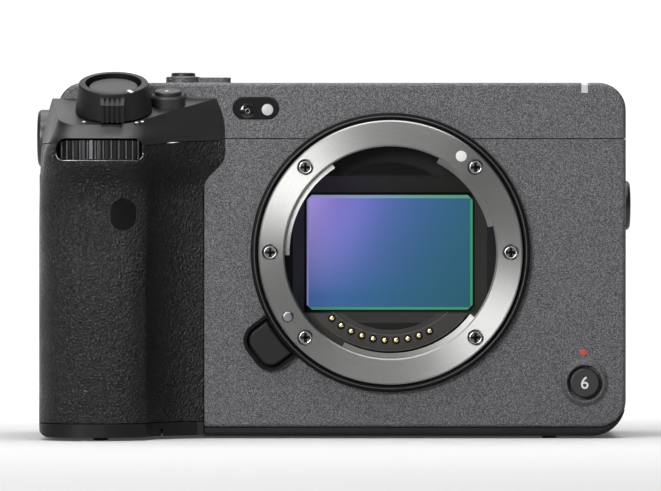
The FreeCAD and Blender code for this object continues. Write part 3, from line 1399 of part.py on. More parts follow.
def card_slots():
    depth = slot_block_depth()
    z0 = CARD_LOW - SLOT_BLOCK_WALL
    z1 = CARD_LOW + CARD_Y + SLOT_BLOCK_WALL
    right = SLOT_BLOCK_LEFT + SLOT_BLOCK_X
    block = box(SLOT_BLOCK_LEFT, right, SLOT_FRONT + FIT, SLOT_FRONT + depth - FIT, z0 + FIT, z1 - FIT)
    cuts = []
    for y in card_places():
        cuts.append(
            box(
                SLOT_BLOCK_LEFT - 1,
                right - SLOT_BACK,
                y - RUN,
                y + CARD_THICK + RUN,
                CARD_LOW - RUN,
                CARD_LOW + CARD_Y + RUN,
            )
        )
    return without(block, cuts)


def card_places():
    return [SLOT_FRONT + SLOT_BLOCK_WALL + CARD_PITCH * index for index in range(2)]


def memory_cards():
    cards = []
    left = SLOT_BLOCK_LEFT + CARD_INSET
    for y in card_places():
        cards.append(
            plate_x(y, y + CARD_THICK, CARD_LOW, CARD_LOW + CARD_Y, (0.4,) * 4, left, left + CARD_X)
        )
    return Part.makeCompound(cards)


def battery():
    right = BATTERY_LEFT + BATTERY_X
    low = BATTERY_TOP - BATTERY_Z
    return plate_z(
        BATTERY_LEFT, right, BATTERY_FRONT, BATTERY_FRONT + BATTERY_Y, (BATTERY_ROUND,) * 4, low, BATTERY_TOP
    )


def port_board():
    back = port_face() - SOCKET_DEPTH
    low = PORT_DOOR_LOW - WALL
    board = box(back - BOARD_THICK, back, PORT_DOOR_FRONT, PORT_DOOR_REAR - 1, low, PORT_DOOR_HIGH)
    centres = [(y0 + y1) / 2 for y0, y1 in port_door_spans()]
    parts = [board]
    for door, z, width, height in SOCKETS:
        parts.append(port_socket(centres[door], z, width, height))
    for door, z in JACKS:
        start = (back - BOARD_THICK / 2, centres[door], z)
        parts.append(rod(JACK_R, start, X_AXIS, SOCKET_DEPTH + SOCKET_PROUD + BOARD_THICK / 2))
    board = joined(parts)
    bores = [rod(JACK_BORE_R, (back, centres[door], z), X_AXIS, FAR) for door, z in JACKS]
    return without(board, bores)


def port_socket(y, z, width, height):
    """A flat socket whose long side stands upright, with a tongue in its middle."""
    front = port_face() + SOCKET_PROUD
    back = port_face() - SOCKET_DEPTH - BOARD_THICK / 2
    half_y = width / 2
    half_z = height / 2
    open_y = half_y - SOCKET_WALL
    open_z = half_z - SOCKET_WALL
    shell = box(back, front, y - half_y, y + half_y, z - half_z, z + half_z)
    hollow = box(port_face() - SOCKET_DEPTH, FAR, y - open_y, y + open_y, z - open_z, z + open_z)
    half_tongue = TONGUE_THICK / 2
    end = half_z - TONGUE_INSET
    tongue = box(back, port_face() - TONGUE_DROP, y - half_tongue, y + half_tongue, z - end, z + end)
    return joined([shell.cut(hollow), tongue])


# Lamps, threads, shoe, feet and screws
def tally_lamp():
    return body_shell().common(tally_slot(-FIT / 2))


def window_panel():
    front = BODY_FRONT + WINDOW_SINK
    return oval(WINDOW_WIDTH, WINDOW_HEIGHT, front, front + WINDOW_THICK, WINDOW_X, WINDOW_Z)


def threaded_bush(start, direction, wall):
    """A bush flush with the wall's outer face, with a flange behind the wall."""
    spot = V(*start)
    way = V(*direction)
    flange_start = spot + way * wall
    body = rod(BUSH_R, start, direction, BUSH_LENGTH)
    flange = rod(BUSH_FLANGE_R, tuple(flange_start), direction, BUSH_FLANGE_THICK)
    return joined([body, flange]).cut(rod(THREAD_R, start, direction, BUSH_LENGTH))


def thread_bushes():
    bushes = [threaded_bush((x, y, BODY_TOP), (0, 0, -1), WALL) for x, y in TOP_THREADS]
    bushes.append(threaded_bush((0, TRIPOD_Y, BODY_BOTTOM), Z_AXIS, BOTTOM_THICK + WALL))
    return Part.makeCompound(bushes)


def side_boss(radius, x_wall, proud, side, z):
    """A round boss on a side wall with a threaded bush through the wall."""
    outward = (side, 0, 0)
    disc = rod(radius, (x_wall, BOSS_Y, z), outward, proud)
    disc = disc.makeFillet(min(1.0, proud * 0.7), edges_at(disc, 0, x_wall + side * proud))
    stem = rod(BUSH_R, (x_wall, BOSS_Y, z), (-side, 0, 0), BUSH_LENGTH)
    whole = joined([disc, stem])
    depth = proud + BUSH_LENGTH
    return whole.cut(rod(THREAD_R, (x_wall + side * proud, BOSS_Y, z), (-side, 0, 0), depth))


def side_bosses():
    return Part.makeCompound(
        [
            side_boss(PORT_BOSS_R, BODY_RIGHT, PORT_BOSS_PROUD, 1, PORT_BOSS_Z),
            side_boss(GRIP_BOSS_R, BODY_LEFT, GRIP_BOSS_PROUD, -1, GRIP_BOSS_Z),
        ]
    )


def accessory_shoe():
    top = BODY_TOP - SHOE_TOP_SINK
    floor = top - SHOE_LIP - SHOE_SLOT
    half = SHOE_INNER / 2
    front = BODY_REAR - SHOE_LENGTH
    body = box(-half - SHOE_SIDE, half + SHOE_SIDE, front, BODY_REAR, floor - SHOE_FLOOR, top)
    slot = box(-half, half, front + SHOE_SIDE, BODY_REAR + 1, floor, top - SHOE_LIP)
    mouth = box(-SHOE_MOUTH / 2, SHOE_MOUTH / 2, front + SHOE_SIDE, BODY_REAR + 1, floor, top + 1)
    return without(body, [slot, mouth])


def feet():
    bottom = BODY_BOTTOM - FOOT_PROUD
    pads = []
    for x, y in FOOT_PLACES:
        seat = GRIP_BASE_BOTTOM if x < GRIP_SEAM_X else BODY_BOTTOM
        pad = rod(FOOT_R, (x, y, bottom), Z_AXIS, seat - bottom)
        pads.append(pad.makeFillet(0.2, edges_at(pad, 2, bottom)))
    return Part.makeCompound(pads)


def cover_screws():
    screws = []
    for x, y in COVER_SCREWS:
        head = cone(COVER_SCREW_R, COVER_SCREW_R * 0.75, (x, y, BODY_BOTTOM + 0.1), Z_AXIS, 1.2)
        shank = rod(COVER_SCREW_R * 0.75 - 0.02, (x, y, BODY_BOTTOM + 1), Z_AXIS, COVER_SCREW_LENGTH - 1)
        slot = box(x - 0.2, x + 0.2, y - 0.8, y + 0.8, BODY_BOTTOM - 1, BODY_BOTTOM + 0.6)
        cross = box(x - 0.8, x + 0.8, y - 0.2, y + 0.2, BODY_BOTTOM - 1, BODY_BOTTOM + 0.6)
        screws.append(without(joined([head, shank]), [slot, cross]))
    return Part.makeCompound(screws)


# Controls on the grip and the top
def dial_height():
    return DIAL_HIGH - DIAL_LOW


def front_dial():
    centre = (DIAL_X, DIAL_Y, DIAL_LOW)
    height = dial_height()
    disc = toothed_disc(centre, DIAL_R, height, DIAL_TEETH, DIAL_NOTCH, Z_AXIS)
    return disc.cut(rod(DIAL_AXLE_R + RUN, (DIAL_X, DIAL_Y, DIAL_LOW - 1), Z_AXIS, height + 2))


def on_grip_top(shape):
    """Moves a piece made upright at the origin to the zoom lever's axis."""
    return tilted(shape, LEVER_X, LEVER_Y, tilted_height(LEVER_Y), TOP_TILT)


def lever_top():
    return LEVER_LIFT + LEVER_HEIGHT


def tab_slope(lowered):
    """Everything above the sloping top of the lever's tab, in the lever's own place."""
    side = LEVER_BASE_R + TAB_REACH + 1
    inner = LEVER_TOP_R - LEVER_RIM
    tip = lever_top() - TAB_FALL - lowered
    rim = lever_top() - LEVER_ROUND - lowered
    points = [(-side, -side, tip), (-side, -side, FAR), (-side, -inner, FAR), (-side, -inner, rim)]
    return prism(points, (2 * side, 0, 0))


def zoom_lever():
    low = LEVER_LIFT
    foot = low + TAB_LIFT
    ring = cone(LEVER_BASE_R, LEVER_TOP_R, (0, 0, low), Z_AXIS, LEVER_HEIGHT)
    ring = ring.makeFillet(LEVER_ROUND, edges_at(ring, 2, lever_top()))
    half = math.radians(TAB_HALF_ANGLE)
    tip = half * TAB_TIP_SHARE
    reach = LEVER_BASE_R + TAB_REACH
    inner = LEVER_TOP_R - LEVER_RIM
    points = []
    for radius, turn in ((inner, -half), (reach, -tip), (reach, tip), (inner, half)):
        points.append((radius * math.sin(turn), -radius * math.cos(turn), foot))
    tab = prism(points, (0, 0, lever_top() - foot)).cut(tab_slope(0))
    hub = rod(LEVER_HUB_R, (0, 0, -LEVER_HUB_DEPTH), Z_AXIS, LEVER_HUB_DEPTH + foot)
    lever = joined([ring, tab, hub])
    cuts = [
        rod(SHUTTER_BUTTON_R + LEVER_CUP_GAP, (0, 0, lever_top() - LEVER_CUP_DEPTH), Z_AXIS, FAR),
        rod(SHUTTER_STEM_R + RUN, (0, 0, -FAR), Z_AXIS, 2 * FAR),
    ]
    face = -reach * math.cos(tip) + GROOVE_DEPTH
    for index in range(TAB_GROOVES):
        x = (index - (TAB_GROOVES - 1) / 2) * GROOVE_PITCH
        lane = box(x - GROOVE_WIDTH / 2, x + GROOVE_WIDTH / 2, -FAR, -LEVER_TOP_R, low - 1, FAR)
        cuts.append(lane.common(tab_slope(GROOVE_DEPTH)))
        cuts.append(lane.common(box(-FAR, FAR, -FAR, face, -FAR, FAR)))
    return on_grip_top(without(lever, cuts))


def shutter_button():
    top = lever_top() - SHUTTER_BUTTON_DROP
    cap = rod(SHUTTER_BUTTON_R, (0, 0, top - SHUTTER_BUTTON_THICK), Z_AXIS, SHUTTER_BUTTON_THICK)
    cap = eased(cap, BUTTON_ROUND, 2, top)
    stem_top = top - SHUTTER_BUTTON_THICK / 2
    stem = rod(SHUTTER_STEM_R, (0, 0, -SHUTTER_STEM_DEPTH), Z_AXIS, stem_top + SHUTTER_STEM_DEPTH)
    return on_grip_top(joined([cap, stem]))


def grip_top_button():
    top = GRIP_COLLAR_HEIGHT + GRIP_BUTTON_PROUD
    button = rod(GRIP_BUTTON_R, (0, 0, -GRIP_BUTTON_DEPTH), Z_AXIS, top + GRIP_BUTTON_DEPTH)
    button = eased(button, BUTTON_ROUND, 2, top)
    return tilted(button, GRIP_BUTTON_X, GRIP_BUTTON_Y, tilted_height(GRIP_BUTTON_Y), GRIP_BUTTON_TILT)


def power_switch():
    top = SHAFT_TOP + SWITCH_HEIGHT
    ring = rod(SWITCH_R, (SWITCH_X, SWITCH_Y, SHAFT_TOP), Z_AXIS, SWITCH_HEIGHT)
    ring = eased(ring, BUTTON_ROUND, 2, top)
    half = SWITCH_ARM_HALF
    high = SHAFT_TOP + SWITCH_ARM_HEIGHT
    bends = (0, half - 0.1, half - 0.1, 0)
    arm = plate_z(SWITCH_X, SWITCH_ARM_END, SWITCH_Y - half, SWITCH_Y + half, bends, SHAFT_TOP, high)
    hub = rod(SWITCH_HUB_R, (SWITCH_X, SWITCH_Y, INNER_TOP - 1), Z_AXIS, SHAFT_TOP - INNER_TOP + 1.5)
    whole = joined([ring, arm, hub])
    return whole.cut(rod(MOVIE_BUTTON_R + RUN, (SWITCH_X, SWITCH_Y, 0), Z_AXIS, FAR))


def movie_button():
    top = SHAFT_TOP + SWITCH_HEIGHT + MOVIE_BUTTON_PROUD
    button = rod(MOVIE_BUTTON_R, (SWITCH_X, SWITCH_Y, INNER_TOP - 2), Z_AXIS, top - INNER_TOP + 2)
    return eased(button, BUTTON_ROUND, 2, top)


def front_button():
    front = BODY_FRONT - FRONT_BUTTON_PROUD
    thick = FRONT_BUTTON_PROUD + FRONT_BUTTON_DEPTH
    cap = rod(FRONT_BUTTON_R, (FRONT_BUTTON_X, front, FRONT_BUTTON_Z), Y_AXIS, thick)
    cap = eased(cap, BUTTON_ROUND, 1, front)
    stem = rod(FRONT_STEM_R, (FRONT_BUTTON_X, BODY_FRONT, FRONT_BUTTON_Z), Y_AXIS, FRONT_STEM_LENGTH)
    return joined([cap, stem])


# Doors
def battery_hinge_x():
    return BATTERY_LEFT + BATTERY_X + BATTERY_DOOR_MARGIN - DOOR_THICK / 2


def battery_door():
    low = GRIP_BASE_BOTTOM
    door = battery_door_box(0, low, low + DOOR_THICK)
    door = door.common(box(-FAR, battery_hinge_x(), -FAR, FAR, -FAR, FAR))
    length = BATTERY_Y + 2 * BATTERY_DOOR_MARGIN
    barrel = rod(
        DOOR_THICK / 2,
        (battery_hinge_x(), BATTERY_FRONT - BATTERY_DOOR_MARGIN, low + DOOR_THICK / 2),
        Y_AXIS,
        length,
    )
    return without(joined([door, barrel]), [latch_pocket(), base_corner()])


def latch_pocket():
    low = GRIP_BASE_BOTTOM
    left = BATTERY_LEFT - BATTERY_DOOR_MARGIN
    half = LATCH_Y / 2 + RUN
    right = left + LATCH_X + LATCH_TRAVEL + FREE
    return box(left - 1, right, latch_y() - half, latch_y() + half, low - 1, low + LATCH_THICK)


def battery_latch():
    left = BATTERY_LEFT - BATTERY_DOOR_MARGIN
    low = GRIP_BASE_BOTTOM + 0.05
    half = LATCH_Y / 2
    front = latch_y() - half
    rear = latch_y() + half
    plate = box(left - LATCH_TONGUE, left + LATCH_X, front, rear, low, GRIP_BASE_BOTTOM + LATCH_THICK - 0.05)
    ribs = []
    for index in range(LATCH_RIBS):
        x = left + 2.2 + LATCH_RIB_PITCH * index
        ribs.append(box(x, x + LATCH_RIB_WIDTH, front, rear, low - 1, low + LATCH_RIB_DEPTH))
    return without(plate, ribs + [base_corner()])


def side_door(hinge_y, end_y, low, high, outer_x, side):
    """A door on a side wall with its hinge barrel along its front edge."""
    middle = outer_x - side * DOOR_THICK / 2
    inner = outer_x - side * DOOR_THICK
    barrel_y = hinge_y + DOOR_THICK / 2
    bends = (0.0, DOOR_ROUND, DOOR_ROUND, 0.0)
    panel = plate_x(barrel_y, end_y, low, high, bends, min(inner, outer_x), max(inner, outer_x))
    barrel = rod(DOOR_THICK / 2, (middle, barrel_y, low), Z_AXIS, high - low)
    return joined([panel, barrel])


def card_door():
    return side_door(CARD_DOOR_FRONT, CARD_DOOR_REAR, CARD_DOOR_LOW, CARD_DOOR_HIGH, GRIP_SIDE_X, -1)


def port_door_front():
    y0, y1 = port_door_spans()[0]
    return side_door(y0, y1, PORT_DOOR_LOW, PORT_DOOR_HIGH, BODY_RIGHT, 1)


def port_door_rear():
    y0, y1 = port_door_spans()[1]
    return side_door(y0, y1, PORT_DOOR_LOW, PORT_DOOR_HIGH, BODY_RIGHT, 1)


# Monitor
def monitor_back():
    return BODY_REAR + MONITOR_GAP


def glass_space(margin, y0, y1):
    inset = GLASS_INSET - margin
    return plate_y(
        MONITOR_LEFT + inset,
        MONITOR_RIGHT - inset,
        MONITOR_LOW + inset,
        MONITOR_HIGH - inset,
        (MONITOR_ROUND - 1,) * 4,
        y0,
        y1,
    )


def monitor_housing():
    outer = monitor_back() + MONITOR_THICK
    shell = plate_y(
        MONITOR_LEFT, MONITOR_RIGHT, MONITOR_LOW, MONITOR_HIGH, (MONITOR_ROUND,) * 4, monitor_back(), outer
    )
    shell = eased(shell, 0.9, 1, outer)
    shell = eased(shell, 0.9, 1, monitor_back())
    return shell.cut(glass_space(FIT, outer - SCREEN_RIM - GLASS_THICK, outer + 1))


def monitor_glass():
    outer = monitor_back() + MONITOR_THICK - SCREEN_RIM
    return glass_space(0, outer - GLASS_THICK, outer)


def monitor_bracket():
    low = HINGE_LOW + KNUCKLE + SEAM
    high = HINGE_HIGH - KNUCKLE - SEAM
    middle = hinge_spot(0)[1]
    barrel = rod(HINGE_BARREL_R, hinge_spot(low), Z_AXIS, high - low)
    arm = box(MONITOR_RIGHT, HINGE_X, middle - HINGE_ARM_HALF, middle + HINGE_ARM_HALF, low, high)
    pin = rod(HINGE_PIN_R, hinge_spot(HINGE_LOW + 0.4), Z_AXIS, HINGE_HIGH - HINGE_LOW - 0.8)
    return joined([barrel, arm, pin])


# Rear controls
def rear_dial():
    centre = (REAR_DIAL_X, REAR_DIAL_Y, REAR_DIAL_LOW)
    height = REAR_DIAL_HIGH - REAR_DIAL_LOW
    disc = toothed_disc(centre, REAR_DIAL_R, height, REAR_DIAL_TEETH, DIAL_NOTCH, Z_AXIS)
    return disc.cut(rod(DIAL_AXLE_R + RUN, (REAR_DIAL_X, REAR_DIAL_Y, 0), Z_AXIS, FAR))


def control_wheel():
    back = BODY_REAR + FREE
    centre = (WHEEL_X, back, WHEEL_Z)
    height = WHEEL_PROUD - FREE
    disc = toothed_disc(centre, WHEEL_R, height, WHEEL_TEETH, WHEEL_NOTCH, Y_AXIS)
    return disc.cut(rod(WHEEL_INNER_R, (WHEEL_X, 0, WHEEL_Z), Y_AXIS, FAR))


def rear_button(radius, x, z, proud, depth):
    outer = BODY_REAR + proud
    button = rod(radius, (x, BODY_REAR - depth, z), Y_AXIS, depth + proud)
    return button.makeFillet(0.3, edges_at(button, 1, outer))


def centre_button():
    return rear_button(CENTRE_BUTTON_R, WHEEL_X, WHEEL_Z, CENTRE_BUTTON_PROUD, WALL + 0.6)


def menu_button():
    return rear_button(MENU_BUTTON_R, MENU_X, MENU_Z, MENU_BUTTON_PROUD, WALL + 0.6)


def playback_button():
    return rear_button(MENU_BUTTON_R, PLAY_X, PLAY_Z, MENU_BUTTON_PROUD, WALL + 0.6)


def joystick_pivot():
    return V(JOYSTICK_X, BODY_REAR - JOYSTICK_PIVOT_DEPTH, JOYSTICK_Z)


def joystick_gimbal():
    pivot = joystick_pivot()
    start = (pivot.x, pivot.y - GIMBAL_WIDTH / 2, pivot.z)
    reach = JOYSTICK_WELL_R - FIT
    pins = rod(GIMBAL_PIN_R, (pivot.x, pivot.y, pivot.z - reach), Z_AXIS, 2 * reach)
    ring = joined([rod(GIMBAL_R, start, Y_AXIS, GIMBAL_WIDTH), pins])
    return ring.cut(rod(GIMBAL_BORE_R, start, Y_AXIS, GIMBAL_WIDTH))


def joystick():
    pivot = joystick_pivot()
    tip = BODY_REAR + JOYSTICK_PROUD
    stem = rod(JOYSTICK_STEM_R, (pivot.x, pivot.y - GIMBAL_WIDTH / 2, pivot.z), Y_AXIS, tip - pivot.y)
    cap = rod(JOYSTICK_CAP_R, (pivot.x, tip - JOYSTICK_CAP_THICK, pivot.z), Y_AXIS, JOYSTICK_CAP_THICK)
    cap = cap.makeFillet(JOYSTICK_CAP_ROUND, edges_at(cap, 1, tip))
    reach = GIMBAL_BORE_R - 2 * FIT
    studs = rod(GIMBAL_PIN_R, (pivot.x - reach, pivot.y, pivot.z), X_AXIS, 2 * reach)
    return joined([stem, cap, studs])


PIECES = [
    front_cover,
    top_cover,
    rear_cover,
    bottom_cover,
    grip_frame,
    grip_leather,
    grip_cap,
    grip_base,
    ir_window,
    mount_flange,
    mount_screws,
    mount_trim_ring,
    lens_release_button,
    lens_lock_pin,
    contact_block,
    contact_pins,
    chassis,
    throat_baffle,
    sensor_mask,
    image_sensor,
    sensor_carriage,
    stabiliser_slider,
    stabiliser_base,
    heat_sink,
    main_board,
    fan_housing,
    fan_impeller,
    card_slots,
    memory_cards,
    battery,
    port_board,
    tally_lamp,
    window_panel,
    thread_bushes,
    side_bosses,
    accessory_shoe,
    feet,
    cover_screws,
    front_dial,
    zoom_lever,
    shutter_button,
    grip_top_button,
    power_switch,
    movie_button,
    front_button,
    battery_door,
    battery_latch,
    card_door,
    port_door_front,
    port_door_rear,
    monitor_housing,
    monitor_glass,
    monitor_bracket,
    rear_dial,
    control_wheel,
    centre_button,
    menu_button,
    playback_button,
    joystick_gimbal,
    joystick,
]


def write_parts():
    os.makedirs("parts", exist_ok=True)
    for piece in PIECES:
        piece().exportStep("parts/" + piece.__name__ + ".step")


if __name__ == "__main__":
    write_parts()
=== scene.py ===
"""Looks for a cinema camera body without a lens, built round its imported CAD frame."""

from __future__ import annotations

import json
import logging
import math
from dataclasses import dataclass
from enum import Enum

import bmesh
import bpy
from mathutils import Matrix, Vector

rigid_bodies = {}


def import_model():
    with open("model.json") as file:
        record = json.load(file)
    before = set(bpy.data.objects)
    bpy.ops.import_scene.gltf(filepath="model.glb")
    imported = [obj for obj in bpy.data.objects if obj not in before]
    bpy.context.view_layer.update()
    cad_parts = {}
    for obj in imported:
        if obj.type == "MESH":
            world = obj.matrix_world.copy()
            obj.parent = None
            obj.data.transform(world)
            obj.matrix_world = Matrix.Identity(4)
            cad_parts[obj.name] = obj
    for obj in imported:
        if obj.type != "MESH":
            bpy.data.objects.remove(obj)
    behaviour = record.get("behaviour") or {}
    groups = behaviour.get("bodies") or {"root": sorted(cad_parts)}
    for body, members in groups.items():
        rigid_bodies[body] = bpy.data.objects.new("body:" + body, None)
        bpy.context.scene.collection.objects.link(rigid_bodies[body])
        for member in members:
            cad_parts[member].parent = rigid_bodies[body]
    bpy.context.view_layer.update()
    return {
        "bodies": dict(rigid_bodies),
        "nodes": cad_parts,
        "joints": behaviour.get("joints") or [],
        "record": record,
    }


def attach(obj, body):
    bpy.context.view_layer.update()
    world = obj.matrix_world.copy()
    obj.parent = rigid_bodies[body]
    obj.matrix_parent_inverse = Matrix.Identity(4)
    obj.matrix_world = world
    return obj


LOG = logging.getLogger("cinema_camera")
MM = 0.001
PROBE_FRONT = -60.0
PROBE_BACK = 120.0
PRINT_ROUND = 0.02 * MM
PRINT_THICKNESS = 0.06 * MM
SHARP_ANGLE = math.radians(35)
COAT_ROUGHNESS = 0.08
BRUSHING_TURN = 0.25
HANDLING_SCALE = 70.0
LIGHT_AIM = (-0.012, 0.02, 0.0)
Colour = tuple[float, float, float]
Socket = bpy.types.NodeSocket
SocketPair = tuple[Socket, Socket]
Shape = bmesh.types.BMesh


class Pattern(Enum):
    """The surface patterns that the camera's finishes use."""

    SPECKLED_PAINT = "speckled_paint"
    MOULDED_GRAIN = "moulded_grain"
    LEATHER_GRAIN = "leather_grain"
    RING_BRUSHING = "ring_brushing"
    HANDLING = "handling"


class NodeSketch:
    """Places and joins nodes in one shader tree."""

    def __init__(self, tree: bpy.types.NodeTree) -> None:
        """Keeps the tree that is drawn in.

        Args:
            tree: The material's or group's node tree.
        """
        self.tree = tree

    def add(
        self, kind: str, inputs: dict[str | int, object] | None = None, **settings: object
    ) -> bpy.types.Node:
        """Adds one node.

        Args:
            kind: The node's type name.
            inputs: Values, or sockets to join, by the input's name or number.
            **settings: Attributes of the node.

        Returns:
            The new node.
        """
        node = self.tree.nodes.new(kind)
        for name, value in settings.items():
            setattr(node, name, value)
        for key, value in (inputs or {}).items():
            if isinstance(value, Socket):
                self.tree.links.new(value, node.inputs[key])
            else:
                node.inputs[key].default_value = value
        return node

    def math(self, operation: str, first: object, second: object = 0.0, clamp: bool = False) -> Socket:
        """Adds a math node.

        Args:
            operation: What it does.
            first: First value or socket.
            second: Second value or socket.
            clamp: Whether the result stays between 0 and 1.

        Returns:
            Its result.
        """
        node = self.add("ShaderNodeMath", {0: first, 1: second}, operation=operation, use_clamp=clamp)
        return node.outputs[0]

    def vector(self, operation: str, inputs: dict[str | int, object]) -> Socket:
        """Adds a vector math node.

        Args:
            operation: What it does.
            inputs: Values or sockets, by the input's name or number.

        Returns:
            Its result.
        """
        return self.add("ShaderNodeVectorMath", inputs, operation=operation).outputs[0]

    def noise(
        self, place: Socket, scale: object, detail: float, roughness: float = 0.5
    ) -> bpy.types.Node:
        """Adds a noise texture.

        Args:
            place: Where it is looked up.
            scale: How fine it is.
            detail: How many finer layers it has.
            roughness: How strong those layers are.

        Returns:
            The node.
        """
        inputs = {"Vector": place, "Scale": scale, "Detail": detail, "Roughness": roughness}
        return self.add("ShaderNodeTexNoise", inputs)

    def spread(
        self, value: object, low: float, high: float, to_low: float = 0.0, to_high: float = 1.0
    ) -> Socket:
        """Maps one range onto another, held at its ends.

        Args:
            value: The socket to map.
            low: Start of the range.
            high: End of the range.
            to_low: What the start becomes.
            to_high: What the end becomes.

        Returns:
            The mapped value.
        """
        inputs = {"Value": value, "From Min": low, "From Max": high, "To Min": to_low, "To Max": to_high}
        return self.add("ShaderNodeMapRange", inputs).outputs[0]

    def blend(self, share: object, first: object, second: object) -> Socket:
        """Mixes two colours.

        Args:
            share: How much of the second colour shows.
            first: First colour or socket.
            second: Second colour or socket.

        Returns:
            The mixed colour.
        """
        node = self.add("ShaderNodeMix", data_type="RGBA", blend_type="MIX")
        for index, value in ((0, share), (6, first), (7, second)):
            if isinstance(value, Socket):
                self.tree.links.new(value, node.inputs[index])
            elif index == 0:
                node.inputs[index].default_value = value
            else:
                node.inputs[index].default_value = (*value[:3], 1.0)
        return node.outputs[2]


class PatternShelf:
    """Builds each surface pattern once, as a node group with named inputs and outputs."""

    def __init__(self) -> None:
        """Starts with an empty shelf."""
        self.made: dict[Pattern, bpy.types.NodeTree] = {}

    def get(self, pattern: Pattern) -> bpy.types.NodeTree:
        """Gives a pattern's group, building it the first time.

        Args:
            pattern: Which pattern.

        Returns:
            The node group.
        """
        if pattern not in self.made:
            group = bpy.data.node_groups.new(pattern.value, "ShaderNodeTree")
            group.interface.new_socket(name="Scale", in_out="INPUT", socket_type="NodeSocketFloat")
            group.interface.new_socket(name="Mask", in_out="OUTPUT", socket_type="NodeSocketFloat")
            group.interface.new_socket(name="Height", in_out="OUTPUT", socket_type="NodeSocketFloat")
            sketch = NodeSketch(group)
            start = sketch.add("NodeGroupInput")
            place = sketch.add("ShaderNodeTexCoord").outputs["Object"]
            mask, height = getattr(self, "_" + pattern.value)(sketch, place, start.outputs["Scale"])
            sketch.add("NodeGroupOutput", {"Mask": mask, "Height": height})
            self.made[pattern] = group
        return self.made[pattern]

    def _speckled_paint(self, sketch: NodeSketch, place: Socket, scale: Socket) -> SocketPair:
        """Metal flake in dark paint: random grains, a few of them bright.

        Args:
            sketch: Where to draw.
            place: Object coordinates.
            scale: Grains per metre.

        Returns:
            The flake's brightness and its height.
        """
        grains = sketch.add("ShaderNodeTexVoronoi", {"Vector": place, "Scale": scale, "Randomness": 1.0})
        tone = sketch.add("ShaderNodeSeparateColor", {0: grains.outputs["Color"]}).outputs[0]
        coarse = sketch.math("MULTIPLY", scale, 0.43)
        patches = sketch.noise(place, coarse, 3.0, 0.75)
        cloud = sketch.spread(patches.outputs[0], 0.3, 0.7)
        mixed = sketch.math("ADD", sketch.math("MULTIPLY", tone, 0.6), sketch.math("MULTIPLY", cloud, 0.4))
        return mixed, mixed

    def _moulded_grain(self, sketch: NodeSketch, place: Socket, scale: Socket) -> SocketPair:
        """The fine spark-eroded grain of moulded plastic.

        Args:
            sketch: Where to draw.
            place: Object coordinates.
            scale: Grains per metre.

        Returns:
            A mask and the grain's height.
        """
        fine = sketch.noise(place, scale, 2.0, 0.6)
        height = sketch.spread(fine.outputs[0], 0.3, 0.7)
        return height, height

    def _leather_grain(self, sketch: NodeSketch, place: Socket, scale: Socket) -> SocketPair:
        """Pebbles of leather with creases between them.

        Args:
            sketch: Where to draw.
            place: Object coordinates.
            scale: Pebbles per metre.

        Returns:
            The crease mask and the height.
        """
        bend = sketch.noise(place, sketch.math("MULTIPLY", scale, 0.7), 2.0)
        pushed = sketch.vector("SUBTRACT", {0: bend.outputs["Color"], 1: (0.5, 0.5, 0.5)})
        sized = sketch.vector("SCALE", {0: pushed, "Scale": 1.1 * MM})
        moved = sketch.vector("ADD", {0: place, 1: sized})
        pebbles, creases = (
            sketch.add("ShaderNodeTexVoronoi", {"Vector": moved, "Scale": grain}, feature="DISTANCE_TO_EDGE")
            for grain in (scale, sketch.math("MULTIPLY", scale, 2.3))
        )
        large = sketch.spread(pebbles.outputs[0], 0.0, 0.28)
        small = sketch.spread(creases.outputs[0], 0.0, 0.3)
        small_share = sketch.math("MULTIPLY", small, 0.28)
        height = sketch.math("ADD", sketch.math("MULTIPLY", large, 0.72), small_share)
        return sketch.math("SUBTRACT", 1.0, large, clamp=True), height

    def _ring_brushing(self, sketch: NodeSketch, place: Socket, scale: Socket) -> SocketPair:
        """Fine lines that run round the lens axis.

        Args:
            sketch: Where to draw.
            place: Object coordinates.
            scale: Lines per metre of radius.

        Returns:
            The lines' tone and their height.
        """
        axes = sketch.add("ShaderNodeSeparateXYZ", {0: place})
        x, z = axes.outputs[0], axes.outputs[2]
        squares = sketch.math("ADD", sketch.math("MULTIPLY", x, x), sketch.math("MULTIPLY", z, z))
        radius = sketch.math("SQRT", squares)
        turn = sketch.math("ARCTAN2", z, x)
        across = sketch.math("MULTIPLY", radius, scale)
        along = sketch.math("MULTIPLY", turn, 5.0)
        point = sketch.add("ShaderNodeCombineXYZ", {0: across, 1: along, 2: 0.0}).outputs[0]
        lines = sketch.noise(point, 1.0, 4.0, 0.7)
        tone = sketch.spread(lines.outputs[0], 0.3, 0.7)
        return tone, tone

    def _handling(self, sketch: NodeSketch, place: Socket, scale: Socket) -> SocketPair:
        """Wide soft patches where hands have polished or dulled a surface.

        Args:
            sketch: Where to draw.
            place: Object coordinates.
            scale: Patches per metre.

        Returns:
            The patches as a mask and as a height.
        """
        wide = sketch.noise(place, scale, 5.0, 0.55)
        mask = sketch.spread(wide.outputs[0], 0.35, 0.65)
        return mask, mask


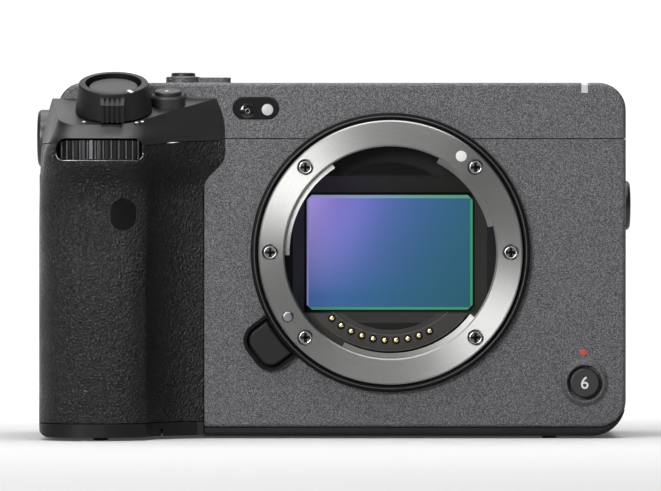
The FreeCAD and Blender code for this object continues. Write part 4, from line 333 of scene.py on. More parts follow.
@dataclass(frozen=True)
class Finish:
    """One surface finish: its colour, its gloss and the pattern that breaks it up."""

    name: str
    colour: Colour
    roughness: float = 0.5
    metallic: float = 0.0
    specular: float = 0.5
    coat: float = 0.0
    anisotropic: float = 0.0
    pattern: Pattern | None = None
    grain_scale: float = 1000.0
    bump: float = 0.0
    bump_depth: float = 0.05 * MM
    second_colour: Colour | None = None
    contrast_from: float = 0.0
    contrast_to: float = 1.0
    polish: float = 0.06
    glow: float = 0.0

    def material(self, shelf: PatternShelf) -> bpy.types.Material:
        """Builds the material, or gives it again.

        Args:
            shelf: Where the shared patterns are.

        Returns:
            The material.
        """
        known = bpy.data.materials.get(self.name)
        if known is not None:
            return known
        material = bpy.data.materials.new(self.name)
        material.use_nodes = True
        material.diffuse_color = (*self.colour, 1.0)
        sketch = NodeSketch(material.node_tree)
        shader = material.node_tree.nodes["Principled BSDF"]
        looks = {
            "Metallic": self.metallic, "Specular IOR Level": self.specular, "Coat Weight": self.coat,
            "Coat Roughness": COAT_ROUGHNESS, "Anisotropic": self.anisotropic,
            "Anisotropic Rotation": BRUSHING_TURN, "Emission Strength": self.glow,
            "Emission Color": (*self.colour, 1.0),
        }
        for name, value in looks.items():
            shader.inputs[name].default_value = value
        if self.anisotropic:
            tangent = sketch.add("ShaderNodeTangent", direction_type="RADIAL", axis="Y")
            sketch.tree.links.new(tangent.outputs[0], shader.inputs["Tangent"])
        self.dress(sketch, shader, shelf)
        return material

    def dress(self, sketch: NodeSketch, shader: bpy.types.Node, shelf: PatternShelf) -> None:
        """Joins the patterns to the shader.

        Args:
            sketch: The material's tree.
            shader: Its Principled BSDF.
            shelf: Where the shared patterns are.
        """
        links = sketch.tree.links
        touch = sketch.add("ShaderNodeGroup", node_tree=shelf.get(Pattern.HANDLING))
        touch.inputs["Scale"].default_value = HANDLING_SCALE
        low = max(self.roughness - self.polish, 0.02)
        worn = sketch.spread(touch.outputs["Mask"], 0.0, 1.0, low, min(self.roughness + self.polish, 1.0))
        links.new(worn, shader.inputs["Roughness"])
        if self.pattern is None:
            tone = sketch.spread(touch.outputs["Mask"], 0.0, 1.0, 0.0, 1.0)
            second = self.second_colour or tuple(min(channel * 1.12 + 0.001, 1.0) for channel in self.colour)
            links.new(sketch.blend(tone, self.colour, second), shader.inputs["Base Color"])
            return
        grain = sketch.add("ShaderNodeGroup", node_tree=shelf.get(self.pattern))
        grain.inputs["Scale"].default_value = self.grain_scale
        second = self.second_colour or self.colour
        tone = sketch.spread(grain.outputs["Mask"], self.contrast_from, self.contrast_to)
        links.new(sketch.blend(tone, self.colour, second), shader.inputs["Base Color"])
        bump = sketch.add(
            "ShaderNodeBump",
            {"Strength": self.bump, "Distance": self.bump_depth, "Height": grain.outputs["Height"]},
        )
        links.new(bump.outputs[0], shader.inputs["Normal"])


@dataclass(frozen=True)
class MouldedFinish(Finish):
    """A finish with the fine grain of moulded plastic or of blasted metal."""

    pattern: Pattern | None = Pattern.MOULDED_GRAIN
    bump_depth: float = 0.02 * MM


@dataclass(frozen=True)
class SunkFinish(MouldedFinish):
    """A finish whose colour changes where the surface lies deeper than its face, as in a screw's recess,
    whose darker colour there is painted shade.
    """

    face: float = 0.66 * MM
    floor: float = 0.76 * MM
    # sunk_colour: on the screws, painted shade in the cross recess and the gap round each head.
    sunk_colour: Colour = (0.008, 0.008, 0.008)

    def dress(self, sketch: NodeSketch, shader: bpy.types.Node, shelf: PatternShelf) -> None:
        """Joins the patterns, then the colour of the deeper surface, which on the screws is painted shade in
        the recess.

        Args:
            sketch: The material's tree.
            shader: Its Principled BSDF.
            shelf: Where the shared patterns are.
        """
        super().dress(sketch, shader, shelf)
        face_tone = shader.inputs["Base Color"].links[0].from_socket
        place = sketch.add("ShaderNodeTexCoord").outputs["Object"]
        depth = sketch.add("ShaderNodeSeparateXYZ", {0: place}).outputs[1]
        # Blends to sunk_colour with depth: on the screws, painted shade in the recess.
        tone = sketch.blend(sketch.spread(depth, self.face, self.floor), face_tone, self.sunk_colour)
        sketch.tree.links.new(tone, shader.inputs["Base Color"])


@dataclass(frozen=True)
class SensorFinish(Finish):
    """The sensor's cover glass: painted reflection colours that run across the pixel array and glow though it
    is no lamp, with painted highlights along the cut edges.
    """

    width: float = 36.4 * MM
    height: float = 25.2 * MM
    edge: float = 0.55 * MM
    top_highlight_band: float = 0.70 * MM
    left_highlight_band: float = 0.35 * MM
    line: float = 0.05 * MM
    surface_share: float = 0.35

    def dress(self, sketch: NodeSketch, shader: bpy.types.Node, shelf: PatternShelf) -> None:
        """Joins the sensor's painted reflection colours and edge highlights to the shader, as a dimmed base
        colour and as glow.

        Args:
            sketch: The material's tree.
            shader: Its Principled BSDF.
            shelf: Where the shared patterns are; not used.
        """
        place = sketch.add("ShaderNodeTexCoord").outputs["Object"]
        axes = sketch.add("ShaderNodeSeparateXYZ", {0: place})
        across = sketch.spread(axes.outputs[0], -self.width / 2, self.width / 2)
        up = sketch.spread(axes.outputs[2], -self.height / 2, self.height / 2)
        # Painted reflection: the coloured sheen that runs across the array, in a top row and a low row.
        top_reflection_row = self._ramp(
            sketch,
            across,
            [(0.0, (0.56, 0.42, 1.0)), (0.17, (0.32, 0.25, 0.86)), (0.42, (0.10, 0.15, 0.47)),
             (0.72, (0.045, 0.13, 0.29)), (1.0, (0.03, 0.13, 0.20))],
        )
        low_reflection_row = self._ramp(
            sketch,
            across,
            [(0.0, (0.07, 0.145, 0.40)), (0.28, (0.038, 0.13, 0.30)), (0.6, (0.03, 0.12, 0.21)),
             (1.0, (0.025, 0.115, 0.16))],
        )
        array = sketch.blend(sketch.spread(up, 0.12, 1.0), low_reflection_row, top_reflection_row)
        top_edge_highlight = self._ramp(
            sketch, across, [(0.0, (0.42, 0.38, 0.78)), (0.4, (0.25, 0.38, 0.55)), (0.75, (0.12, 0.40, 0.25)),
                             (1.0, (0.10, 0.42, 0.22))]
        )
        # Painted highlights along the cover glass's cut edges: green at the bottom and right, lilac at the
        # left.
        green = (0.06, 0.30, 0.16)
        lilac_edge_highlight = (0.30, 0.28, 0.58)
        x, z = axes.outputs[0], axes.outputs[2]
        half_width, half_height = self.width / 2, self.height / 2
        edge_highlights = (
            (z, half_height - self.top_highlight_band - self.line, half_height - self.top_highlight_band, top_edge_highlight),
            (z, self.edge - half_height + self.line, self.edge - half_height, green),
            (x, half_width - self.edge, half_width - self.edge + self.line, green),
            (x, self.left_highlight_band - half_width + self.line, self.left_highlight_band - half_width, lilac_edge_highlight),
        )
        colour = array
        for value, start, end, strip in edge_highlights:
            colour = sketch.blend(sketch.spread(value, start, end), colour, strip)
        # The base colour is the painted reflection dimmed; the full colours are emitted, so the sensor glows
        # though it is no lamp.
        dimmed = sketch.blend(1.0 - self.surface_share, colour, (0.0, 0.0, 0.0))
        sketch.tree.links.new(dimmed, shader.inputs["Base Color"])
        shader.inputs["Roughness"].default_value = self.roughness
        sketch.tree.links.new(colour, shader.inputs["Emission Color"])

    @staticmethod
    def _ramp(sketch: NodeSketch, value: Socket, stops: list[tuple[float, Colour]]) -> Socket:
        """Draws a smooth run of colours.

        Args:
            sketch: Where to draw.
            value: What it runs along, from 0 to 1.
            stops: Places and colours.

        Returns:
            The colour.
        """
        node = sketch.add("ShaderNodeValToRGB", {0: value})
        ramp = node.color_ramp
        ramp.interpolation = "B_SPLINE"
        while len(ramp.elements) < len(stops):
            ramp.elements.new(0.5)
        for element, (spot, colour) in zip(ramp.elements, stops):
            element.position = spot
            element.color = (*colour, 1.0)
        return node.outputs[0]


PAINT = Finish(
    "grey_speckled_paint", (0.0225, 0.0222, 0.0248), roughness=0.48, metallic=0.25, specular=0.4,
    pattern=Pattern.SPECKLED_PAINT, grain_scale=7600.0, bump=0.6, bump_depth=0.06 * MM,
    second_colour=(0.20, 0.20, 0.21), contrast_from=0.38, contrast_to=1.0,
)
BLACK_SHELL = MouldedFinish(
    "black_moulded_shell", (0.0055, 0.0055, 0.006), roughness=0.42, specular=0.16, grain_scale=5200.0,
    bump=0.35, bump_depth=0.03 * MM, second_colour=(0.0085, 0.0085, 0.009),
)
CAP_SHELL = MouldedFinish(
    "satin_grip_cap", (0.0080, 0.0080, 0.0085), roughness=0.42, specular=0.40, grain_scale=6500.0, bump=0.25,
    second_colour=(0.0115, 0.0115, 0.012),
)
LEVER_SHELL = MouldedFinish(
    "zoom_lever_shell", (0.0050, 0.0050, 0.0054), roughness=0.48, specular=0.22, grain_scale=6500.0, bump=0.2,
    second_colour=(0.0075, 0.0075, 0.008),
)
TRIM_BLACK = MouldedFinish(
    "trim_ring_black", (0.0032, 0.0032, 0.0034), roughness=0.38, specular=0.07, grain_scale=6500.0, bump=0.15,
    second_colour=(0.0042, 0.0042, 0.0044),
)
RUBBER = Finish(
    "leather_grained_rubber", (0.0030, 0.0030, 0.0032), roughness=0.38, specular=0.30,
    pattern=Pattern.LEATHER_GRAIN, grain_scale=1150.0, bump=0.85, bump_depth=0.26 * MM,
    second_colour=(0.004, 0.004, 0.004), contrast_from=0.1, contrast_to=1.0, polish=0.10,
)
PLAIN_RUBBER = MouldedFinish(
    "plain_rubber", (0.012, 0.012, 0.012), roughness=0.75, specular=0.3, grain_scale=4000.0, bump=0.3,
    bump_depth=0.03 * MM,
)
RING_STEEL = Finish(
    "ring_brushed_steel", (0.24, 0.238, 0.233), roughness=0.38, metallic=1.0, anisotropic=0.86,
    pattern=Pattern.RING_BRUSHING, grain_scale=16000.0, bump=0.05, bump_depth=0.01 * MM,
    second_colour=(0.31, 0.308, 0.301), polish=0.02,
)
FITTING_STEEL = MouldedFinish(
    "satin_fitting_steel", (0.16, 0.16, 0.162), roughness=0.50, metallic=0.9, grain_scale=6000.0, bump=0.15,
    bump_depth=0.01 * MM, second_colour=(0.20, 0.20, 0.202),
)
PLAIN_STEEL = MouldedFinish(
    "turned_steel", (0.55, 0.55, 0.55), roughness=0.28, metallic=1.0, grain_scale=6000.0, bump=0.1,
    bump_depth=0.01 * MM, second_colour=(0.62, 0.62, 0.62),
)
DARK_METAL = MouldedFinish(
    "dark_anodised", (0.035, 0.035, 0.037), roughness=0.34, metallic=0.85, grain_scale=5000.0, bump=0.15,
    second_colour=(0.055, 0.055, 0.058),
)
BUTTON_TOP = MouldedFinish(
    "spun_button_top", (0.020, 0.020, 0.0215), roughness=0.42, metallic=0.3, specular=0.3, grain_scale=7000.0,
    bump=0.1, bump_depth=0.01 * MM, second_colour=(0.028, 0.028, 0.0295),
)
GLOSS = Finish("gloss_black_window", (0.004, 0.004, 0.0045), roughness=0.10, coat=0.3)
GOLD = Finish("gold_contacts", (0.80, 0.66, 0.34), roughness=0.22, metallic=1.0)
DEAD_BLACK = MouldedFinish(
    "dead_black", (0.009, 0.009, 0.0095), roughness=0.62, specular=0.25, grain_scale=5200.0, bump=0.25,
    second_colour=(0.012, 0.012, 0.013),
)
# Screw heads: their recess and the gap round each head are painted darker with depth, as painted shade.
SCREW_STEEL = SunkFinish(
    "screw_steel", (0.20, 0.20, 0.20), roughness=0.30, metallic=1.0, grain_scale=6000.0, bump=0.15,
    bump_depth=0.01 * MM, second_colour=(0.28, 0.28, 0.28),
)
THROAT_BLACK = SunkFinish(
    "throat_black", (0.0035, 0.0035, 0.0036), roughness=0.62, specular=0.16, grain_scale=5200.0, bump=0.25,
    second_colour=(0.005, 0.005, 0.005), face=8.2 * MM, floor=8.6 * MM, sunk_colour=(0.030, 0.026, 0.020),
)
BLOCK_BLACK = MouldedFinish(
    "contact_block_black", (0.0165, 0.0155, 0.0135), roughness=0.5, specular=0.3, grain_scale=5200.0,
    bump=0.2, second_colour=(0.021, 0.020, 0.0175),
)
# Lighter grey for thin lines: painted highlight on the contact block's edges and the trim ring's bead.
EDGE_HIGHLIGHT_GREY = Finish("contact_block_edge", (0.045, 0.045, 0.046), roughness=0.45, specular=0.4)
# Sensor: painted reflection colours and edge highlights, emitted as glow though it is no lamp.
SENSOR = SensorFinish("sensor_cover_glass", (0.1, 0.15, 0.4), roughness=0.12, specular=0.35, glow=0.6)
ALLOY = MouldedFinish(
    "cast_alloy", (0.30, 0.30, 0.31), roughness=0.5, metallic=0.9, grain_scale=3000.0, bump=0.2,
    bump_depth=0.03 * MM, second_colour=(0.36, 0.36, 0.37),
)
BOARD = Finish("green_solder_mask", (0.01, 0.07, 0.03), roughness=0.35, coat=0.2)
LAMP = Finish("milky_lamp", (0.31, 0.315, 0.325), roughness=0.35)
SCREEN = Finish("display_glass", (0.004, 0.004, 0.005), roughness=0.07, coat=0.5)
WHITE_PRINT = Finish("white_print", (0.42, 0.42, 0.42), roughness=0.5)
RED_PRINT = Finish("red_print", (0.26, 0.028, 0.012), roughness=0.5)
SILVER_TRIM = Finish("silver_trim", (0.22, 0.22, 0.225), roughness=0.32, metallic=1.0)

FINISH_NODES: dict[Finish, tuple[str, ...]] = {
    PAINT: ("front_cover", "top_cover", "rear_cover", "power_switch"),
    BLACK_SHELL: (
        "bottom_cover", "grip_frame", "grip_base", "lens_release_button", "battery_door", "card_door",
        "port_door_front", "port_door_rear", "monitor_housing",
    ),
    CAP_SHELL: (
        "grip_cap", "grip_top_button", "movie_button", "front_button", "centre_button", "menu_button",
        "playback_button",
    ),
    RUBBER: ("grip_leather",),
    PLAIN_RUBBER: ("feet", "battery_latch", "joystick"),
    GLOSS: ("ir_window", "window_panel"),
    RING_STEEL: ("mount_flange",),
    SCREW_STEEL: ("mount_screws",),
    SILVER_TRIM: ("lens_lock_pin",),
    FITTING_STEEL: ("accessory_shoe", "thread_bushes"),
    TRIM_BLACK: ("mount_trim_ring",),
    DARK_METAL: (
        "side_bosses", "cover_screws", "front_dial", "rear_dial", "monitor_bracket", "control_wheel",
        "joystick_gimbal",
    ),
    GOLD: ("contact_pins",),
    BLOCK_BLACK: ("contact_block",),
    THROAT_BLACK: ("throat_baffle",),
    DEAD_BLACK: (
        "sensor_mask", "fan_housing", "fan_impeller", "card_slots", "battery", "memory_cards", "chassis",
        "sensor_carriage",
    ),
    SENSOR: ("image_sensor",),
    ALLOY: ("stabiliser_slider", "stabiliser_base", "heat_sink"),
    BOARD: ("main_board", "port_board"),
    LAMP: ("tally_lamp",),
    SCREEN: ("monitor_glass",),
    LEVER_SHELL: ("zoom_lever",),
    BUTTON_TOP: ("shutter_button",),
}
NODE_FINISHES = {node: finish for finish, nodes in FINISH_NODES.items() for node in nodes}


@dataclass
class Workshop:
    """What every sub-assembly needs to make its pieces."""

    frame: dict
    shelf: PatternShelf

    def keep(self, shape: Shape, name: str, body: str, slot: str, finish: Finish) -> None:
        """Turns a finished bmesh into a piece that rides a body.

        Args:
            shape: The mesh, in place in the row frame. It is freed.
            name: The piece's name.
            body: The CAD body that it rides.
            slot: The record's material slot; not used.
            finish: Its finish.
        """
        bmesh.ops.remove_doubles(shape, verts=shape.verts, dist=1e-7)
        bmesh.ops.recalc_face_normals(shape, faces=shape.faces)
        mesh = bpy.data.meshes.new(name)
        shape.to_mesh(mesh)
        shape.free()
        piece = bpy.data.objects.new(name, mesh)
        bpy.context.scene.collection.objects.link(piece)
        mesh.materials.append(finish.material(self.shelf))
        mesh.shade_smooth()
        mesh.set_sharp_from_angle(angle=SHARP_ANGLE)
        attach(piece, body)
        LOG.info("made %s on %s", name, body)

    @staticmethod
    def puck(radius: float, thickness: float, rounding: float, place: Matrix, segments: int = 48) -> Shape:
        """A round plate whose foot is at the place's origin and whose rounded top is along +Z.

        Args:
            radius: Its radius.
            thickness: Its thickness.
            rounding: Width of the round on its top edge.
            place: Where it goes.
            segments: Corners round the rim.

        Returns:
            The mesh.
        """
        shape = bmesh.new()
        bmesh.ops.create_cone(
            shape, cap_ends=True, segments=segments, radius1=radius, radius2=radius, depth=thickness,
            matrix=Matrix.Translation((0.0, 0.0, thickness / 2)),
        )
        top = [edge for edge in shape.edges if all(v.co.z > thickness * 0.9 for v in edge.verts)]
        bmesh.ops.bevel(
            shape, geom=top, offset=rounding, segments=3, profile=0.5, affect="EDGES", material=-1
        )
        bmesh.ops.transform(shape, matrix=place, verts=shape.verts)
        return shape

    @staticmethod
    def slab(size: tuple[float, float, float], rounding: float, place: Matrix) -> Shape:
        """A block with its foot at the place's origin and all its edges rounded.

        Args:
            size: Its sizes along X, Y and Z.
            rounding: Width of the rounds.
            place: Where it goes.

        Returns:
            The mesh.
        """
        shape = bmesh.new()
        bmesh.ops.create_cube(shape, size=1.0, matrix=Matrix.Translation((0.0, 0.0, 0.5)))
        bmesh.ops.scale(shape, vec=size, verts=shape.verts)
        bmesh.ops.bevel(
            shape, geom=list(shape.edges), offset=rounding, segments=3, profile=0.5, affect="EDGES",
            material=-1,
        )
        bmesh.ops.transform(shape, matrix=place, verts=shape.verts)
        return shape

    @staticmethod
    def hoop(
        radius: float, wire: float, place: Matrix, start: float = 0.0, sweep: float = 360.0, steps: int = 96
    ) -> Shape:
        """A round wire bent to a circle or an arc about the place's Z axis.

        Args:
            radius: Radius of the bend.
            wire: Radius of the wire.
            place: Where it goes.
            start: Where the arc starts, in degrees from the place's X.
            sweep: How far it runs, in degrees.
            steps: Segments along it.

        Returns:
            The mesh.
        """
        shape = bmesh.new()
        ring = bmesh.ops.create_circle(
            shape, cap_ends=False, segments=10, radius=wire,
            matrix=Matrix.Translation((radius, 0.0, 0.0)) @ Matrix.Rotation(math.radians(90), 4, "X"),
        )["verts"]
        full = sweep >= 360.0
        bmesh.ops.spin(
            shape, geom=list(ring) + list(shape.edges), cent=(0.0, 0.0, 0.0), axis=(0.0, 0.0, 1.0),
            angle=math.radians(sweep), steps=steps, use_merge=full,
        )
        if not full:
            bmesh.ops.holes_fill(shape, edges=[edge for edge in shape.edges if edge.is_boundary])
        turned = place @ Matrix.Rotation(math.radians(start), 4, "Z")
        bmesh.ops.transform(shape, matrix=turned, verts=shape.verts)
        return shape

    @staticmethod
    def wire(points: list[Vector], radius: float, closed: bool = False) -> Shape:
        """A round wire along a path, drawn with a bevelled curve.

        Args:
            points: The path, in metres in the row frame.
            radius: Radius of the wire.
            closed: Whether the path closes.

        Returns:
            The mesh.
        """
        curve = bpy.data.curves.new("wire_draft", "CURVE")
        curve.dimensions = "3D"
        curve.bevel_depth = radius
        curve.bevel_resolution = 2
        curve.use_fill_caps = not closed
        line = curve.splines.new("POLY")
        line.points.add(len(points) - 1)
        for point, spot in zip(line.points, points):
            point.co = (*spot, 1.0)
        line.use_cyclic_u = closed
        return Workshop.from_curve(curve)

    @staticmethod
    def from_curve(curve: bpy.types.Curve) -> Shape:
        """Turns a curve or a text into a mesh.

        Args:
            curve: The curve or the text.

        Returns:
            The mesh.
        """
        draft = bpy.data.objects.new("curve_draft", curve)
        bpy.context.scene.collection.objects.link(draft)
        bpy.context.view_layer.update()
        flat = bpy.data.meshes.new_from_object(draft)
        bpy.data.objects.remove(draft)
        shape = bmesh.new()
        shape.from_mesh(flat)
        bpy.data.meshes.remove(flat)
        return shape

    @staticmethod
    def gather(shapes: list[Shape]) -> Shape:
        """Puts several meshes into one.

        Args:
            shapes: The meshes. They are freed.

        Returns:
            The joined mesh.
        """
        whole = bmesh.new()
        for shape in shapes:
            draft = bpy.data.meshes.new("gather_draft")
            shape.to_mesh(draft)
            shape.free()
            whole.from_mesh(draft)
            bpy.data.meshes.remove(draft)
        return whole

    def surface_y(self, node: str, x: float, z: float, behind: bool = False) -> float:
        """Finds where a node's surface faces the camera's front or back.

        Args:
            node: The CAD node.
            x: Position along X, in millimetres.
            z: Position along Z, in millimetres.
            behind: Whether the surface is looked for from behind.

        Returns:
            The surface's Y, in millimetres.
        """
        start = Vector((x, PROBE_BACK if behind else PROBE_FRONT, z)) * MM
        way = Vector((0.0, -1.0 if behind else 1.0, 0.0))
        found, spot, _, _ = self.frame["nodes"][node].ray_cast(start, way)
        if not found:
            raise ValueError(f"no surface of {node} at x {x}, z {z}")
        return spot.y / MM


def leaning(x: float, y: float, z: float, degrees: float) -> Matrix:
    """A place turned about X, as on the grip's tilted top.

    Args:
        x: Position along X, in millimetres.
        y: Position along Y, in millimetres.
        z: Position along Z, in millimetres.
        degrees: How far its +Z leans towards -Y.

    Returns:
        The matrix, in metres.
    """
    return Matrix.Translation(Vector((x, y, z)) * MM) @ Matrix.Rotation(math.radians(degrees), 4, "X")


def facing_front(x: float, y: float, z: float) -> Matrix:
    """A place, given in millimetres, whose +Z looks out of the camera's front, towards -Y."""
    return leaning(x, y, z, 90.0)


def facing_back(x: float, y: float, z: float) -> Matrix:
    """A place, given in millimetres, whose +Z looks out of the camera's back, towards +Y."""
    return leaning(x, y, z, -90.0)


def on_ring(radius: float, y: float, degrees: float) -> Matrix:
    """A place on a circle about the lens axis, whose +Z looks out of the camera's front.

    Args:
        radius: Radius of the circle, in millimetres.
        y: Position along Y, in millimetres.
        degrees: How far round it lies, from +X towards +Z.

    Returns:
        The matrix, in metres.
    """
    turn = math.radians(degrees)
    return facing_front(radius * math.cos(turn), y, radius * math.sin(turn))


@dataclass
class LensMountMarks:
    """The mount's index dot, its screws' dark crosses as painted shade and bright rims as painted highlight,
    and the thin lines round and in its throat, lighter ones as painted highlight and dark hoops as painted
    shade.
    """

    workshop: Workshop
    dot_radius: float = 1.2 * MM
    dot_circle: float = 25.9
    dot_angle: float = 53.7
    dot_floor: float = 0.3
    dot_thickness: float = 0.27 * MM
    dot_round: float = 0.08 * MM
    bead_radius: float = 29.55
    bead_front: float = 1.02
    bead_wire: float = 0.11 * MM
    arch_radius: float = 16.9
    arch_centre: float = 2.7
    arch_foot: float = 17.0
    arch_lift: float = 0.35 * MM
    arch_sink: float = 0.05
    plate_front: float = 8.12
    edge_wire: float = 0.09 * MM
    edge_front: float = 5.34
    edge_arcs: tuple[tuple[float, float, float], ...] = ((18.0, 226.0, 88.0), (21.45, 221.5, 97.0))
    well_radius: float = 0.74 * MM
    well_wire: float = 0.13 * MM
    well_front: float = 5.32
    pin_circle: float = 19.15
    pin_first: float = 228.5
    pin_step: float = 7.55
    pin_count: int = 10
    screw_circle: float = 26.1
    screw_angles: tuple[float, ...] = (0.0, 45.0, 135.0, 180.0, 225.0, 315.0)
    screw_face: float = 0.3
    screw_sink: float = 0.02
    cross_arm: tuple[float, float, float] = (1.9 * MM, 0.55 * MM, 0.07 * MM)
    rim_radius: float = 1.22 * MM
    rim_wire: float = 0.11 * MM

    def build(self) -> None:
        """Makes the index dot, the thin lines with their painted highlight and shade, and the screws' painted
        shade crosses and painted highlight rims.
        """
        place = on_ring(self.dot_circle, self.dot_floor, self.dot_angle)
        dot = self.workshop.puck(self.dot_radius, self.dot_thickness, self.dot_round, place)
        self.workshop.keep(dot, "mount_index_dot", "camera_body", "lamp_white", WHITE_PRINT)
        # Trim ring bead: a real rounded wire, its lighter grey a painted highlight line on the black trim.
        place = facing_front(0.0, self.bead_front, 0.0)
        bead = self.workshop.hoop(self.bead_radius * MM, self.bead_wire, place, steps=160)
        self.workshop.keep(bead, "trim_ring_highlight_bead", "camera_body", "black_plastic", EDGE_HIGHLIGHT_GREY)
        self._arch()
        self._contact_lines()
        self._screws()

    def _screws(self) -> None:
        """Makes a dark cross on each mount screw as painted shade for its recess, and a bright steel rim as
        painted highlight round its head.
        """
        crosses, rims = [], []
        for angle in self.screw_angles:
            face = on_ring(self.screw_circle, self.screw_face + self.screw_sink, angle)
            for quarter in (0.0, 90.0):
                arm = face @ Matrix.Rotation(math.radians(quarter), 4, "Z")
                # Dark slabs standing proud: painted shade for the cross recess.
                crosses.append(self.workshop.slab(self.cross_arm, PRINT_ROUND, arm))
            # Bright steel hoop: real geometry whose brightness is a painted highlight on the screw's rim.
            rims.append(self.workshop.hoop(self.rim_radius, self.rim_wire, face, steps=32))
        cross, rim = self.workshop.gather(crosses), self.workshop.gather(rims)
        self.workshop.keep(cross, "mount_screw_cross_shade", "camera_body", "inner_black", TRIM_BLACK)
        self.workshop.keep(rim, "mount_screw_rim_highlights", "camera_body", "mount_steel", PLAIN_STEEL)

    def _arch(self) -> None:
        """Makes the raised arch above the sensor."""
        shape = bmesh.new()
        bmesh.ops.create_circle(shape, cap_ends=True, segments=128, radius=self.arch_radius * MM)
        foot = (self.arch_foot - self.arch_centre) * MM
        bmesh.ops.bisect_plane(
            shape, geom=[*shape.verts, *shape.edges, *shape.faces], plane_co=(0.0, foot, 0.0),
            plane_no=(0.0, -1.0, 0.0), clear_outer=True,
        )
        raised = bmesh.ops.extrude_face_region(shape, geom=list(shape.faces))["geom"]
        lifted = [part for part in raised if isinstance(part, bmesh.types.BMVert)]
        bmesh.ops.translate(shape, vec=(0.0, 0.0, self.arch_lift), verts=lifted)
        place = facing_front(0.0, self.plate_front + self.arch_sink, self.arch_centre)
        bmesh.ops.transform(shape, matrix=place, verts=shape.verts)
        self.workshop.keep(shape, "throat_arch", "camera_body", "inner_black", TRIM_BLACK)

    def _contact_lines(self) -> None:
        """Makes lighter arcs along the contact block's edges as painted highlight, and a dark hoop round each
        pin as painted shade in its well.
        """
        place = facing_front(0.0, self.edge_front, 0.0)
        # Lighter grey arcs: painted highlight along the contact block's edges.
        arcs = [
            self.workshop.hoop(radius * MM, self.edge_wire, place, first, sweep, 48)
            for radius, first, sweep in self.edge_arcs
        ]
        edges = self.workshop.gather(arcs)
        self.workshop.keep(edges, "contact_block_edge_highlights", "camera_body", "inner_black", EDGE_HIGHLIGHT_GREY)
        rings = []
        for index in range(self.pin_count):
            spot = on_ring(self.pin_circle, self.well_front, self.pin_first + index * self.pin_step)
            # Dark hoop: painted shade in the well round the pin.
            rings.append(self.workshop.hoop(self.well_radius, self.well_wire, spot, steps=24))
        wells = self.workshop.gather(rings)
        self.workshop.keep(wells, "contact_pin_well_shade", "camera_body", "inner_black", TRIM_BLACK)


@dataclass
class FrontMarks:
    """Small marks and lamps on the camera's front."""

    workshop: Workshop
    button_x: float = 42.2
    button_z: float = -28.3
    button_face: float = 2.4
    numeral_size: float = 3.74 * MM
    numeral_depth: float = 0.02 * MM
    numeral_weight: float = 0.03 * MM
    dot_place: tuple[float, float] = (41.9, -21.7)
    dot_front: float = 3.02
    dot_radius: float = 0.75 * MM
    dot_thickness: float = 0.05 * MM
    lamp_radius: float = 1.25 * MM
    lamp_thickness: float = 0.14 * MM
    lamp_round: float = 0.05 * MM
    dome_radius: float = 1.6 * MM
    dome_thickness: float = 0.16 * MM
    dome_round: float = 0.08 * MM
    eye_ring_radius: float = 0.48 * MM
    eye_ring_wire: float = 0.12 * MM
    rim_wire: float = 0.16 * MM
    rim_proud: float = 0.08
    lens_sink: float = 0.1
    eye_ring_proud: float = 0.06
    window_face: float = 3.35
    lamp_place: tuple[float, float] = (-26.7, 31.0)
    eye_place: tuple[float, float] = (-31.0, 30.7)
    window_place: tuple[float, float] = (-29.2, 31.3)
    window_size: tuple[float, float] = (9.9, 4.65)

    def build(self) -> None:
        """Makes the marks."""
        self._numeral()
        self._window()
        spot = facing_front(self.dot_place[0], self.dot_front, self.dot_place[1])
        dot = self.workshop.puck(self.dot_radius, self.dot_thickness, PRINT_ROUND, spot)
        self.workshop.keep(dot, "front_red_dot", "camera_body", "lamp_white", RED_PRINT)
        spot = facing_front(self.lamp_place[0], self.window_face + self.lens_sink, self.lamp_place[1])
        lamp = self.workshop.puck(self.lamp_radius, self.lamp_thickness, self.lamp_round, spot)
        self.workshop.keep(lamp, "front_lamp_lens", "camera_body", "lamp_white", LAMP)

    def _window(self) -> None:
        """Makes the rim of the oval window and the small light sensor behind it."""
        half, radius = (self.window_size[0] - self.window_size[1]) / 2, self.window_size[1] / 2
        path = []
        for step in range(64):
            turn = math.tau * step / 64
            side = half if math.cos(turn) >= 0 else -half
            x = self.window_place[0] + side + radius * math.cos(turn)
            z = self.window_place[1] + radius * math.sin(turn)
            path.append(Vector((x, self.window_face - self.rim_proud, z)) * MM)
        rim = self.workshop.wire(path, self.rim_wire, closed=True)
        self.workshop.keep(rim, "window_rim", "camera_body", "gloss_black", GLOSS)
        x, z = self.eye_place
        place = facing_front(x, self.window_face + self.lens_sink, z)
        dome = self.workshop.puck(self.dome_radius, self.dome_thickness, self.dome_round, place, 40)
        self.workshop.keep(dome, "light_sensor_dome", "camera_body", "gloss_black", GLOSS)
        place = facing_front(x, self.window_face - self.eye_ring_proud, z)
        ring = self.workshop.hoop(self.eye_ring_radius, self.eye_ring_wire, place, steps=32)
        self.workshop.keep(ring, "light_sensor_ring", "camera_body", "mount_steel", SILVER_TRIM)

    def _numeral(self) -> None:
        """Makes the plain numeral on the front button."""
        words = bpy.data.curves.new("front_button_numeral_text", "FONT")
        words.body = "6"
        words.align_x = "CENTER"
        words.align_y = "CENTER"
        words.size = self.numeral_size
        words.extrude = self.numeral_depth
        words.offset = self.numeral_weight
        words.resolution_u = 6
        shape = self.workshop.from_curve(words)
        xs = [vert.co.x for vert in shape.verts]
        ys = [vert.co.y for vert in shape.verts]
        middle = Vector(((min(xs) + max(xs)) / 2, (min(ys) + max(ys)) / 2, 0.0))
        bmesh.ops.translate(shape, vec=-middle, verts=shape.verts)
        place = facing_front(self.button_x, self.button_face, self.button_z)
        bmesh.ops.transform(shape, matrix=place, verts=shape.verts)
        self.workshop.keep(shape, "front_button_numeral", "front_button", "lamp_white", WHITE_PRINT)


